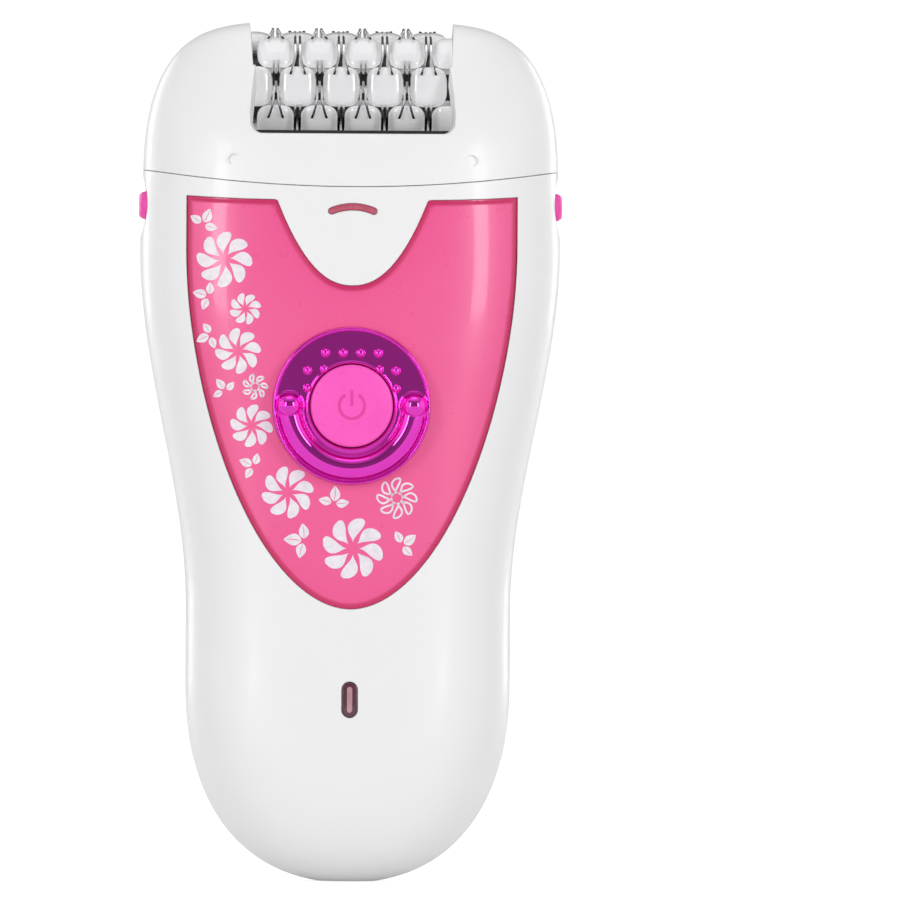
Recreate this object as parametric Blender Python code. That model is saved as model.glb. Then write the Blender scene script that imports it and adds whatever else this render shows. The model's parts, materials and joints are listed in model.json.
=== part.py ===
"""A cordless epilator, built in Blender 4.5 as separate named solids with real clearances.

Frame: +Z runs from the base up to the tweezer head, the front with the power button faces -Y,
and the origin is the centre of the flat base. All the sizes below are in millimetres; add_part()
scales each finished mesh to Blender's metres.

Groups that move: the head lifts off along +Z; the tweezer drum, layshaft, idler and motor shaft
turn; each of the eight jaw rows slides along the drum to close its tweezers; the power button and
the two head release buttons are pressed in.
"""

import math

import bmesh
import bpy
from mathutils import Matrix, Vector

MM = 0.001

# Outer form
SECTION_POWER = 2.4  # exponent of the superelliptic cross-section
WIDTH_DOME_HEIGHT = 33.0  # of the rounded bottom, seen from the front
DEPTH_DOME_HEIGHT = 28.0  # and seen from the side
DOME_CUT = 0.3  # how much of the dome's tip the flat base takes off
GRIP_HALF_WIDTH = 25.5
SHOULDER_GAIN = 7.5  # how much wider each side gets from the grip to the shoulder
GRIP_HALF_DEPTH = 16.3
DEPTH_GAIN = 2.0
REAR_EXTRA = 1.0  # the back is this much fuller than the front
SEAM_Z = 108.9  # head seam, at the middle of the front
SEAM_RISE = 2.6  # how far the seam rises to the sides
SEAM_HALF_WIDTH = 32.6
HEAD_BASE_Z = 111.0
HEAD_RISE = 24.05
SHELL_WALL = 2.4
FLOOR_WALL = 2.2
HEAD_WALL = 1.5
PART_GAP = 0.2

# Front panel, switch and lights
PANEL_HALF_WIDTH = 25.9
PANEL_BOTTOM_Z = 42.8
PANEL_WIDEST_Z = 98.0
PANEL_BELOW_SEAM = 2.4
PANEL_RECESS = 1.2
PANEL_THICKNESS = 0.95
NOTCH_BOTTOM_Z = 93.4
NOTCH_HALF_WIDTH = 11.8
SWITCH_Z = 74.6
RING_RADIUS = 12.3
RING_BORE = 6.7
RING_BACK_Y = -17.05
RING_FACE_Y = -18.5
RIDGE_RADIUS = 9.75
BUTTON_RADIUS = 6.35
BUTTON_FRONT_Y = -19.6
LAMP_Z = 106.0
LAMP_ARC_RADIUS = 7.2
LENS_Z = 28.6
LENS_HALF_WIDTH = 1.18
LENS_HALF_HEIGHT = 2.75

# Release buttons
RELEASE_Z = 106.0
RELEASE_HALF_LENGTH = 5.3
RELEASE_HALF_HEIGHT = 2.2
RELEASE_FACE_X = 33.2
HOOK_Z = 101.6
SCOOP_RADIUS = 15.6  # of the thumb scoop round each button
SCOOP_X = 47.6
SCOOP_Z = 106.4

# Tweezer drum
DRUM_Z = 124.7
PITCH = 6.85  # one barrel and one tweezer
HALF_STEP = PITCH / 4
RINGS = 5
ROWS = 8
ROW_ANGLE = 2 * math.pi / ROWS
DRUM_END_X = 15.75
HUB_RADIUS = 5.4
BARREL_RADIUS = 8.75
JAW_TIP_RADIUS = 9.35
JAW_ROOT_RADIUS = 8.9
JAW_THICKNESS = 0.35
JAW_OFFSET = 0.375  # middle of each jaw plate to the middle of its tweezer, when open
AXLE_RADIUS = 1.5
RUNNING_GAP = 0.1

# Gear train: motor pinion, crown gear, layshaft pinion, idler, drum gear
CROWN_MODULE = 0.45
MOTOR_PINION_TEETH = 9
CROWN_TEETH = 20
SPUR_MODULE = 0.5
LAY_TEETH = 10
IDLER_TEETH = 20
DRUM_TEETH = 20
LAY_Y, LAY_Z = 3.0, 109.0
LAY_RADIUS = 1.0
SPUR_X = (20.2, 22.2)
CHEEK_X = (18.1, 19.6)
PINION_PITCH_RADIUS = CROWN_MODULE * MOTOR_PINION_TEETH / 2

# Power parts
DECK_Z = (100.0, 101.3)
MOTOR_Z = (74.5, 99.5)
MOTOR_RADIUS = 10.2
MOTOR_FLAT = 7.7
BATTERY_RADIUS = 7.0
BATTERY_Z = (19.0, 68.0)
BATTERY_Y = 4.0
BOARD_Y = (-8.4, -7.2)
SCREW_SPOTS = ((-20.0, 90.0), (20.0, 90.0), (-14.5, 40.0), (14.5, 40.0))


# ---------------------------------------------------------------- outer form as functions


def smoothstep(t):
    t = min(1.0, max(0.0, t))
    return t * t * (3 - 2 * t)


def dome_factor(z, height, power, root):
    """How far the rounded bottom has opened at height z: small at the base, and 1 above the dome."""
    u = max(0.0, (height - DOME_CUT - z) / height)
    return max(0.0, 1 - u**power) ** root


def half_width(z):
    if z <= HEAD_BASE_Z:
        width = GRIP_HALF_WIDTH + SHOULDER_GAIN * smoothstep((z - 43) / 56)
        width -= 0.4 * max(0.0, (z - 98) / 13) ** 2
        return width * dome_factor(z, WIDTH_DOME_HEIGHT, 2.5, 0.45)
    u = min(1.0, (z - HEAD_BASE_Z) / HEAD_RISE)
    return SEAM_HALF_WIDTH * (1 - u**2.2) ** 0.19


def half_depth(z, rear=False):
    extra = REAR_EXTRA if rear else 0.0
    if z <= HEAD_BASE_Z:
        depth = GRIP_HALF_DEPTH + DEPTH_GAIN * smoothstep((z - 30) / 70) + extra
        return depth * dome_factor(z, DEPTH_DOME_HEIGHT, 3.0, 0.33)
    u = min(1.0, (z - HEAD_BASE_Z) / HEAD_RISE)
    return 3 + (GRIP_HALF_DEPTH + DEPTH_GAIN - 3 + extra) * (1 - u**1.5) ** 0.72


def seam_z(x):
    return SEAM_Z + SEAM_RISE * (x / SEAM_HALF_WIDTH) ** 2


def section_point(angle, width, depth_front, depth_rear):
    """Point of the cross-section; angle 0 is +X and a quarter turn is the back."""
    c, s = math.cos(angle), math.sin(angle)
    x = math.copysign(abs(c) ** (2 / SECTION_POWER), c) * width
    y = math.copysign(abs(s) ** (2 / SECTION_POWER), s) * (depth_rear if s > 0 else depth_front)
    return x, y


def front_y(x, z, inset=0.0):
    """Y of the front surface at (x, z), moved inwards by inset."""
    share = min(1.0, abs(x) / (half_width(z) - inset))
    return -(half_depth(z) - inset) * (1 - share**SECTION_POWER) ** (1 / SECTION_POWER)


def follow_seam(x, z):
    """Lifts a height near the seam so that it runs parallel to the curved seam."""
    return z + (seam_z(x) - SEAM_Z) * smoothstep((z - 88) / (SEAM_Z - 88))


def panel_half_width(z):
    u = min(1.0, max(0.0, (PANEL_WIDEST_Z - z) / (PANEL_WIDEST_Z - PANEL_BOTTOM_Z)))
    return PANEL_HALF_WIDTH * (1 - u**1.7) ** 0.52


# ---------------------------------------------------------------- shapes, in millimetres


def loft(rings, bottom=None, top=None):
    """A closed solid through rings of points. Its caps fan out from ring point 0, or from a centre."""
    bm = bmesh.new()
    loops = [[bm.verts.new(p) for p in ring] for ring in rings]
    count = len(loops[0])
    for low, high in zip(loops, loops[1:]):
        for i in range(count):
            j = (i + 1) % count
            bm.faces.new((low[i], low[j], high[j], high[i]))
    for loop, centre, flip in ((loops[0], bottom, True), (loops[-1], top, False)):
        hub = bm.verts.new(centre) if centre else loop[0]
        for i in range(0 if centre else 1, count if centre else count - 1):
            face = (hub, loop[i], loop[(i + 1) % count])
            bm.faces.new(face[::-1] if flip else face)
    bmesh.ops.recalc_face_normals(bm, faces=bm.faces)
    return bm


def along(axis, a, b, h):
    """A point from two in-plane coordinates and a height along axis x, y or z."""
    return {"x": (h, a, b), "y": (a, h, b), "z": (a, b, h)}[axis]


def prism(outline, axis, low, high):
    bm = bmesh.new()
    floor = [bm.verts.new(along(axis, a, b, low)) for a, b in outline]
    roof = [bm.verts.new(along(axis, a, b, high)) for a, b in outline]
    for i in range(len(floor)):
        j = (i + 1) % len(floor)
        bm.faces.new((floor[i], floor[j], roof[j], roof[i]))
    bm.faces.new(floor[::-1])
    bm.faces.new(roof)
    bmesh.ops.recalc_face_normals(bm, faces=bm.faces)
    return bm


def box(x, y, z):
    return prism(((x[0], y[0]), (x[1], y[0]), (x[1], y[1]), (x[0], y[1])), "z", z[0], z[1])


def circle(radius, centre=(0, 0), segments=16):
    """Points round a circle, half a step off the axes so that Boolean tools share no corners."""
    turns = [2 * math.pi * (i + 0.5) / segments for i in range(segments)]
    return [(centre[0] + radius * math.cos(t), centre[1] + radius * math.sin(t)) for t in turns]


def cylinder(radius, axis, low, high, centre=(0, 0), segments=16):
    return prism(circle(radius, centre, segments), axis, low, high)


def tube(outer, inner, axis, low, high, centre=(0, 0), segments=16):
    """A hollow cylinder, closed at its ends by flat rings."""
    return lathe([(inner, low), (outer, low), (outer, high), (inner, high)], axis, centre, segments)


def lathe(profile, axis, centre=(0, 0), segments=16):
    """Turns (radius, height) points about axis. A closed ring, or a solid if both ends are at 0."""
    bm = bmesh.new()
    loops = []
    for radius, height in profile:
        if radius == 0:
            loops.append([bm.verts.new(along(axis, centre[0], centre[1], height))])
            continue
        points = circle(radius, centre, segments)
        loops.append([bm.verts.new(along(axis, a, b, height)) for a, b in points])
    pairs = list(zip(loops, loops[1:]))
    if profile[0][0] > 0:
        pairs.append((loops[-1], loops[0]))
    for one, two in pairs:
        for i in range(segments):
            j = (i + 1) % segments
            corners = [one[i % len(one)], one[j % len(one)], two[j % len(two)], two[i % len(two)]]
            bm.faces.new(list(dict.fromkeys(corners)))
    bmesh.ops.recalc_face_normals(bm, faces=bm.faces)
    return bm


def stadium(half_length, half_height, segments=5):
    """Outline of a slot with round ends, its length along the first coordinate."""
    reach = half_length - half_height
    points = []
    for side, start in ((reach, -math.pi / 2), (-reach, math.pi / 2)):
        for i in range(segments + 1):
            t = start + math.pi * i / segments
            points.append((side + half_height * math.cos(t), half_height * math.sin(t)))
    return points


def merged(shapes):
    """Several meshes in one, with nothing joined yet."""
    bm = bmesh.new()
    for shape in shapes:
        mesh = bpy.data.meshes.new("piece")
        shape.to_mesh(mesh)
        bm.from_mesh(mesh)
        bpy.data.meshes.remove(mesh)
    return bm


def temporary_object(bm):
    mesh = bpy.data.meshes.new("temporary")
    bm.to_mesh(mesh)
    obj = bpy.data.objects.new("temporary", mesh)
    bpy.context.scene.collection.objects.link(obj)
    return obj


def boolean(shape, tools, operation):
    """The exact Boolean of two meshes, worked out in millimetres."""
    for bm in (shape, *tools):
        bmesh.ops.triangulate(bm, faces=bm.faces)
    target, tool = temporary_object(shape), temporary_object(merged(tools))
    modifier = target.modifiers.new("boolean", "BOOLEAN")
    modifier.operation = operation
    modifier.solver = "EXACT"
    modifier.use_self = True
    modifier.object = tool
    graph = bpy.context.evaluated_depsgraph_get()
    mesh = bpy.data.meshes.new_from_object(target.evaluated_get(graph))
    result = bmesh.new()
    result.from_mesh(mesh)
    for obj in (target, tool):
        old = obj.data
        bpy.data.objects.remove(obj)
        bpy.data.meshes.remove(old)
    bpy.data.meshes.remove(mesh)
    flat = math.radians(0.4)
    bmesh.ops.remove_doubles(result, verts=result.verts, dist=0.003)
    bmesh.ops.dissolve_limit(result, angle_limit=flat, verts=result.verts, edges=result.edges)
    return result


def cut(shape, *tools):
    return boolean(shape, tools, "DIFFERENCE")


def fuse(shape, *tools):
    return boolean(shape, tools, "UNION")


def moved(bm, offset=(0, 0, 0), turn_x=0.0):
    matrix = Matrix.Translation(offset) @ Matrix.Rotation(turn_x, 4, "X")
    bmesh.ops.transform(bm, matrix=matrix, verts=bm.verts)
    return bm


def mirrored_x(bm):
    bmesh.ops.transform(bm, matrix=Matrix.Diagonal((-1, 1, 1, 1)), verts=bm.verts)
    bmesh.ops.reverse_faces(bm, faces=bm.faces)
    return bm


# ---------------------------------------------------------------- materials and objects


def material(name, colour, roughness, metallic=0.0, alpha=1.0):
    made = bpy.data.materials.new(name)
    made.use_nodes = True
    shader = made.node_tree.nodes["Principled BSDF"]
    shader.inputs["Base Color"].default_value = (*colour, 1)
    shader.inputs["Roughness"].default_value = roughness
    shader.inputs["Metallic"].default_value = metallic
    shader.inputs["Alpha"].default_value = alpha
    return made


def make_materials():
    return {
        "white_gloss": material("white_gloss", (0.87, 0.87, 0.87), 0.28),
        "white_inner": material("white_inner", (0.80, 0.80, 0.80), 0.45),
        "pearl": material("pearl", (0.90, 0.90, 0.91), 0.18),
        "pink_panel": material("pink_panel", (0.90, 0.13, 0.34), 0.22),
        "magenta_chrome": material("magenta_chrome", (0.62, 0.04, 0.48), 0.08, 1.0),
        "pink_button": material("pink_button", (0.95, 0.10, 0.55), 0.4),
        "pink_window": material("pink_window", (0.80, 0.15, 0.28), 0.2, 0.0, 0.9),
        "smoked_lens": material("smoked_lens", (0.10, 0.01, 0.03), 0.1, 0.0, 0.9),
        "steel": material("steel", (0.66, 0.66, 0.68), 0.2, 1.0),
        "brass": material("brass", (0.75, 0.56, 0.22), 0.3, 1.0),
        "gear_nylon": material("gear_nylon", (0.85, 0.84, 0.78), 0.5),
        "board_green": material("board_green", (0.03, 0.22, 0.09), 0.5),
        "black_plastic": material("black_plastic", (0.03, 0.03, 0.03), 0.5),
        "battery_wrap": material("battery_wrap", (0.08, 0.30, 0.55), 0.35),
        "led_clear": material("led_clear", (0.90, 0.92, 0.95), 0.1),
        "wire_red": material("wire_red", (0.70, 0.03, 0.03), 0.5),
    }


def add_part(name, bm, surface, origin=(0, 0, 0), parent=None):
    """Makes one node from a mesh in millimetres about its origin, and scales it to metres."""
    bmesh.ops.triangulate(bm, faces=bm.faces)
    bmesh.ops.transform(bm, matrix=Matrix.Scale(MM, 4), verts=bm.verts)
    mesh = bpy.data.meshes.new(name)
    bm.to_mesh(mesh)
    bm.free()
    mesh.materials.append(surface)
    mesh.shade_smooth()
    mesh.set_sharp_from_angle(angle=math.radians(30))
    return add_copy(name, mesh, origin, parent)


def add_copy(name, mesh, origin, parent=None):
    obj = bpy.data.objects.new(name, mesh)
    bpy.context.scene.collection.objects.link(obj)
    obj.location = Vector(origin) * MM
    if parent:
        obj.parent = parent
        obj.location -= parent.location
    return obj


def add_pivot(name, origin):
    """An empty on a joint's axis, which the pieces that move together are parented to."""
    pivot = bpy.data.objects.new(name, None)
    bpy.context.scene.collection.objects.link(pivot)
    pivot.location = Vector(origin) * MM
    return pivot


# ---------------------------------------------------------------- casings


def body_levels():
    """Heights of the rings of the two body shells, closer together in the base dome."""
    dome = [0, 0.7, 2.0, 4.2, 8, 13, 19, 26, WIDTH_DOME_HEIGHT]
    grip = [WIDTH_DOME_HEIGHT + (SEAM_Z - WIDTH_DOME_HEIGHT) * i / 7 for i in range(1, 8)]
    return dome + grip


def half_section(z, rear, wall=0.0, opening=0.0, segments=16):
    """Half of a cross-section, set in by wall. Point 0 is in the middle of the split plane.

    opening moves the split plane past the middle, so that a cavity reaches right through it."""
    level = max(0.0, z - FLOOR_WALL) if wall else z
    width = half_width(level) - wall
    front = half_depth(level) - wall
    back = half_depth(level, rear=True) - wall
    side = 1 if rear else -1
    points = []
    for i in range(segments + 1):
        x, y = section_point(side * math.pi * i / segments, width, front, back)
        points.append((x, side * max(abs(y), PART_GAP / 2)))
    if opening:
        split = -side * opening
        points = [(width, split)] + points + [(-width, split)]
    else:
        split = side * PART_GAP / 2
    return [(0.0, split)] + points


def half_body(rear):
    """Solid front or rear half of the body, up to the curved seam."""
    rings = []
    for level in body_levels():
        gap = PART_GAP / 2 if level == SEAM_Z else 0.0
        ring = []
        for x, y in half_section(level, rear):
            z = follow_seam(x, level)
            grow_x = half_width(z) / half_width(level)
            grow_y = half_depth(z, rear) / half_depth(level, rear)
            on_split = abs(y) <= PART_GAP
            ring.append((x * grow_x, y if on_split else y * grow_y, z - gap))
        rings.append(ring)
    return loft(rings)


def half_cavity(rear):
    levels = [FLOOR_WALL, 4.5, 9, 17, 30, 48, 66, 84, 100, 116]
    rings = []
    for z in levels:
        plan = half_section(min(z, SEAM_Z), rear, SHELL_WALL, opening=3.0, segments=10)
        rings.append([(x, y, z) for x, y in plan])
    return loft(rings)


def panel_grid(inset, grow, columns=10, rows=12):
    """Points over the front panel's outline, on the body's front moved inwards by inset."""
    bottom, top = PANEL_BOTTOM_Z - grow, SEAM_Z - PANEL_BELOW_SEAM + grow
    grid = []
    for row in range(rows + 1):
        level = bottom + (top - bottom) * (row / rows) ** 1.6
        reach = panel_half_width(level) + grow
        if row == 0:
            level, reach = level + 0.15, max(panel_half_width(level + 0.15) + grow, 1.2)
        line = []
        for column in range(columns + 1):
            x = reach * (2 * column / columns - 1)
            z = follow_seam(x, level)
            line.append((x, front_y(x, z, inset), z))
        grid.append(line)
    return grid


def panel_solid(front_inset, back_inset, grow=0.0):
    """The front panel's shape between two insets of the body's surface, before its notch is cut."""
    return grid_slab(panel_grid(back_inset, grow), panel_grid(front_inset, grow))


def grid_slab(back, front):
    """A closed slab between two grids of points with the same rows and columns."""
    bm = bmesh.new()
    sheets = [[[bm.verts.new(p) for p in line] for line in grid] for grid in (back, front)]
    rows, columns = len(back) - 1, len(back[0]) - 1
    for sheet in sheets:
        for r in range(rows):
            for c in range(columns):
                bm.faces.new((sheet[r][c], sheet[r][c + 1], sheet[r + 1][c + 1], sheet[r + 1][c]))
    rim = [(0, c) for c in range(columns)] + [(r, columns) for r in range(rows)]
    rim += [(rows, c) for c in range(columns, 0, -1)] + [(r, 0) for r in range(rows, 0, -1)]
    for (r, c), (s, d) in zip(rim, rim[1:] + rim[:1]):
        bm.faces.new((sheets[0][r][c], sheets[0][s][d], sheets[1][s][d], sheets[1][r][c]))
    bmesh.ops.recalc_face_normals(bm, faces=bm.faces)
    return bm


def notch_outline(grow=0.0, steps=7):
    """The U-shaped tongue of the front shell that reaches down into the panel."""
    bottom, top = NOTCH_BOTTOM_Z - grow, SEAM_Z + 6
    side = []
    for i in range(steps + 1):
        share = (i / steps) ** 2.2
        z = bottom + (SEAM_Z - PANEL_BELOW_SEAM - bottom) * share
        side.append((max(0.0, (NOTCH_HALF_WIDTH + grow) * share**0.45), z))
    side.append((side[-1][0] + 1.5, top))
    return [(-x, z) for x, z in side[:0:-1]] + side


def decor_panel():
    slab = panel_solid(front_inset=0.0, back_inset=PANEL_THICKNESS)
    notch = prism(notch_outline(grow=0.2), "y", -40, 0)
    hole = cylinder(RING_RADIUS + 0.2, "y", -40, 0, (0, SWITCH_Z), 32)
    return cut(slab, notch, hole)


def lamp_arc(grow=0.0, steps=8):
    """Crescent outline of the skin light's window, in x and z."""
    half = math.asin(3.85 / LAMP_ARC_RADIUS)
    centre = LAMP_Z - LAMP_ARC_RADIUS
    outer = LAMP_ARC_RADIUS + 0.5 + grow
    inner = LAMP_ARC_RADIUS - 0.5 - grow
    half += grow / LAMP_ARC_RADIUS
    points = []
    for radius, order in ((outer, 1), (inner, -1)):
        for i in range(steps + 1):
            t = half * (2 * i / steps - 1) * order
            points.append((radius * math.sin(t), centre + radius * math.cos(t)))
    return points


def release_slot(side):
    outline = stadium(RELEASE_HALF_LENGTH + 0.25, RELEASE_HALF_HEIGHT + 0.25)
    outline = [(y, z + RELEASE_Z) for y, z in outline]
    return prism(outline, "x", *sorted((side * 26.0, side * 40.0)))


def scoop(side, steps=10):
    """Segment of a cylinder along Y that hollows a shallow thumb scoop round a release button."""
    turns = [math.pi + math.radians(50 * (i / steps - 0.5)) for i in range(steps + 1)]
    arc = [(SCOOP_X + SCOOP_RADIUS * math.cos(t), SCOOP_Z + SCOOP_RADIUS * math.sin(t)) for t in turns]
    return prism([(side * x, z) for x, z in arc], "y", -12, 12)


def lens_outline(grow=0.0):
    return [(x, z + LENS_Z) for z, x in stadium(LENS_HALF_HEIGHT + grow, LENS_HALF_WIDTH + grow)]


def front_shell():
    shell = cut(half_body(rear=False), half_cavity(rear=False))
    posts = []
    for x, z in SCREW_SPOTS:
        wall_y = front_y(x, z, SHELL_WALL)
        posts.append(cylinder(2.6, "y", wall_y - 0.7, -0.3, (x, z), 10))
    shell = fuse(shell, *posts)
    recess = panel_solid(front_inset=-8.0, back_inset=PANEL_RECESS, grow=0.2)
    recess = cut(recess, prism(notch_outline(), "y", -60, 0))
    tools = [recess]
    tools.append(cylinder(BUTTON_RADIUS + 0.25, "y", -30, -10, (0, SWITCH_Z), 24))
    tools.append(prism(lamp_arc(grow=0.15), "y", -30, -12))
    tools.append(prism(lens_outline(grow=0.15), "y", -30, -8))
    tools.append(cylinder(3.15, "z", -2, 5, segments=20))
    for x, z in SCREW_SPOTS:
        tools.append(cylinder(0.98, "y", -7, 1, (x, z), 10))
    for side in (-1, 1):
        tools += [scoop(side), release_slot(side)]
    for tool in tools:
        shell = cut(shell, tool)
    return shell


def rear_shell():
    shell = cut(half_body(rear=True), half_cavity(rear=True))
    posts = []
    for x, z in SCREW_SPOTS:
        share = (abs(x) + 3.2) / half_width(z)
        lowest = half_depth(z, rear=True) * (1 - share**SECTION_POWER) ** (1 / SECTION_POWER)
        posts.append(cylinder(3.2, "y", 0.3, lowest - 0.4, (x, z), 12))
    shell = fuse(shell, *posts)
    tools = [cylinder(3.15, "z", -2, 5, segments=20)]
    for x, z in SCREW_SPOTS:
        tools.append(cylinder(2.1, "y", 5.2, 30, (x, z), 14))
        tools.append(cylinder(1.15, "y", -1, 5.4, (x, z), 10))
    for side in (-1, 1):
        tools += [scoop(side), release_slot(side)]
    for tool in tools:
        shell = cut(shell, tool)
    return shell


def full_ring(z, wall=0.0, segments=28, height=None):
    """The whole cross-section at z, as a ring at height. One set in by wall is turned half a step."""
    width, front, back = half_width(z) - wall, half_depth(z) - wall, half_depth(z, True) - wall
    ring = []
    for i in range(segments):
        turn = 2 * math.pi * (i + (0.5 if wall else 0.0)) / segments
        x, y = section_point(turn, width, front, back)
        ring.append((x, y, z if height is None else height))
    return ring


def head_solid():
    """Outer form of the head, from the curved seam up to its nearly flat top."""
    seam_ring = []
    for x, y, _ in full_ring(HEAD_BASE_Z):
        grow = half_width(seam_z(x) + PART_GAP / 2) / SEAM_HALF_WIDTH
        seam_ring.append((x * grow, y * grow, seam_z(x) + PART_GAP / 2))
    rings = [seam_ring]
    for rise in (0.1, 0.3, 0.5, 0.66, 0.8, 0.9, 0.96, 0.995):
        level = HEAD_BASE_Z + HEAD_RISE * rise
        ring = []
        for x, y, _ in full_ring(level):
            z = level + 0.5 * (seam_z(x) - SEAM_Z) * (1 - smoothstep((level - HEAD_BASE_Z) / 6))
            grow_x = half_width(z) / half_width(level)
            grow_y = half_depth(z) / half_depth(level)
            ring.append((x * grow_x, y * grow_y, z))
        rings.append(ring)
    top = HEAD_BASE_Z + HEAD_RISE * 0.995
    return loft(rings, (0, 0, SEAM_Z + PART_GAP / 2), (0, 0, top))


def head_hollow():
    """Space inside the head, less a wall of material on each side of the drum."""
    rings = [full_ring(HEAD_BASE_Z, HEAD_WALL, 20, 100.0)]
    for z in (112, 118, 124, 128.5, 132.2):
        rings.append(full_ring(z + 0.7 * HEAD_WALL, HEAD_WALL, 20, z))
    hollow = loft(rings)
    for side in (-1, 1):
        hollow = cut(hollow, box(sorted((side * 15.9, side * 17.3)), (-25, 25), (113.5, 140)))
    return hollow


def head_cover():
    """Outer cap of the head: two hollow shoulders with a window for the drum between them."""
    corner = [(15.6 - 2 + 2 * math.sin(t), 120.3 - 2 * math.cos(t)) for t in (0, 0.52, 1.05, 1.57)]
    right = corner + [(17.0, 141.0)]
    window = prism([(-x, z) for x, z in right[::-1]] + right, "y", -30, 30)
    cover = cut(cut(head_solid(), head_hollow()), window)
    return cut(cover, cylinder(6.9, "x", -17.75, 17.75, (0, DRUM_Z), 24))


# ---------------------------------------------------------------- fixed parts inside the head


def head_frame():
    """Deck, plug, two bearing cheeks and two latch legs, in one moulding."""
    deck = [full_ring(HEAD_BASE_Z, 2.9, 24, z) for z in (110.9, 112.2)]
    pieces = [loft(deck, (0, 0, 110.9), (0, 0, 112.2))]
    pieces.append(box((-8.5, 8.5), (-4.5, 10.5), (102.6, 111.2)))
    right = ((-5.5, 106.2), (9.5, 106.2), (9.5, 121), (4, 129.3), (-4, 129.3), (-5.5, 124))
    left = ((-6, 111.0), (6, 111.0), (6, 121), (4, 129.3), (-4, 129.3), (-6, 121))
    pieces.append(prism(right, "x", *CHEEK_X))
    pieces.append(prism(left, "x", -CHEEK_X[1], -CHEEK_X[0]))
    for side in (-1, 1):
        pieces.append(box(sorted((side * 25.0, side * 26.4)), (-2.5, 2.5), (102.9, 111.0)))
    frame = fuse(pieces[0], *pieces[1:])
    frame = cut(frame, box((-7.2, 7.2), (-3.2, 9.2), (100, 115)))
    frame = cut(frame, box((19.9, 22.6), (-1.6, 11.2), (104, 115)))
    frame = cut(frame, cylinder(LAY_RADIUS + RUNNING_GAP, "x", -9.5, 21, (LAY_Y, LAY_Z), 12))
    frame = cut(frame, cylinder(3.0, "x", -21, 21, (0, DRUM_Z), 16))
    idler_y, idler_z = idler_centre()
    return cut(frame, cylinder(1.0, "x", 17, 21, (idler_y, idler_z), 12))


def drum_trough(steps=8):
    """A tray under the drum that keeps hair out of the gears, with a shelf to the cover each side."""
    inner, outer, half = 9.95, 10.7, math.radians(46)
    arc = [half * (2 * i / steps - 1) for i in range(steps + 1)]
    upper = [(inner * math.sin(t), DRUM_Z - inner * math.cos(t)) for t in arc]
    lower = [(outer * math.sin(t), DRUM_Z - outer * math.cos(t)) for t in arc]
    shelf_z = upper[0][1]
    front = front_y(15.0, 118.0, HEAD_WALL) + 1.0
    back = -front
    outline = [(front, shelf_z)] + upper + [(back, shelf_z), (back, shelf_z - 0.8)]
    outline += lower[::-1] + [(front, shelf_z - 0.8)]
    tray = prism(outline, "x", -15.3, 15.3)
    feet = [box(sorted((side * 11.5, side * 13.0)), (-2.5, 2.5), (112.4, 115.0)) for side in (-1, 1)]
    return fuse(tray, *feet)


def closing_cam():
    """Fixed ring beside the drum with a ramp that pushes each jaw row shut as it passes."""
    ring = tube(6.5, 5.3, "x", 16.75, 17.5, (0, 0), 20)
    steps = [math.radians(100 + 10 * i) for i in range(6)]
    outline = [(6.4 * math.cos(t), 6.4 * math.sin(t)) for t in steps]
    outline += [(5.4 * math.cos(t), 5.4 * math.sin(t)) for t in steps[::-1]]
    return fuse(ring, prism(outline, "x", 16.5, 17.0))


# ---------------------------------------------------------------- gears


def gear_outline(teeth, module, backlash=0.12, phase=0.0, tip=0.9, root=1.15):
    """Straight-flanked teeth; a tooth points along angle phase."""
    pitch_radius = module * teeth / 2
    tip_radius, root_radius = pitch_radius + tip * module, pitch_radius - root * module
    half = (math.pi * module / 2 - backlash) / 2
    tip_half, root_half = half - 0.42 * module * tip, half + 0.18 * module * root
    tooth = (
        (root_radius, -root_half),
        (tip_radius, -tip_half),
        (tip_radius, tip_half),
        (root_radius, root_half),
    )
    points = []
    for i in range(teeth):
        middle = phase + 2 * math.pi * i / teeth
        for radius, side in tooth:
            t = middle + side / radius
            points.append((radius * math.cos(t), radius * math.sin(t)))
    return points


def spur_gear(teeth, module, axis, low, high, bore, phase):
    blank = prism(gear_outline(teeth, module, phase=phase), axis, low, high)
    return cut(blank, cylinder(bore, axis, low - 1, high + 1, segments=12))


def crown_gear():
    """Disc with radial teeth on its -X face; one tooth points straight down, at the motor pinion."""
    pitch_x = PINION_PITCH_RADIUS
    disc = tube(5.25, LAY_RADIUS + 0.05, "x", pitch_x + 0.5, pitch_x + 2.4, segments=20)
    hub = tube(2.4, LAY_RADIUS + 0.05, "x", pitch_x + 2.3, pitch_x + 4.0, segments=12)
    teeth = []
    profile = ((-0.34, 0.6), (-0.34, 0.5), (-0.15, -0.38), (0.15, -0.38), (0.34, 0.5), (0.34, 0.6))
    for i in range(CROWN_TEETH):
        outline = [(pitch_x + x, side) for side, x in profile]
        bar = prism(outline, "z", -5.1, -3.95)
        teeth.append(moved(bar, turn_x=2 * math.pi * i / CROWN_TEETH))
    return fuse(disc, hub, *teeth)


def idler_centre():
    """Where the idler meshes with both the layshaft pinion and the drum gear."""
    near = SPUR_MODULE * (LAY_TEETH + IDLER_TEETH) / 2
    far = SPUR_MODULE * (IDLER_TEETH + DRUM_TEETH) / 2
    dy, dz = -LAY_Y, DRUM_Z - LAY_Z
    span = math.hypot(dy, dz)
    run = (near**2 - far**2 + span**2) / (2 * span)
    rise = math.sqrt(near**2 - run**2)
    uy, uz = dy / span, dz / span
    return LAY_Y + run * uy + rise * uz, LAY_Z + run * uz - rise * uy


def mesh_phase(phase, teeth, centre, other_teeth, other_centre):
    """The phase that puts the other gear's gap on this gear's tooth, both turning about +X."""
    heading = math.atan2(other_centre[1] - centre[1], other_centre[0] - centre[0])
    offset = phase - heading
    return heading + math.pi - offset * teeth / other_teeth + math.pi / other_teeth


# ---------------------------------------------------------------- tweezer drum


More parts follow.
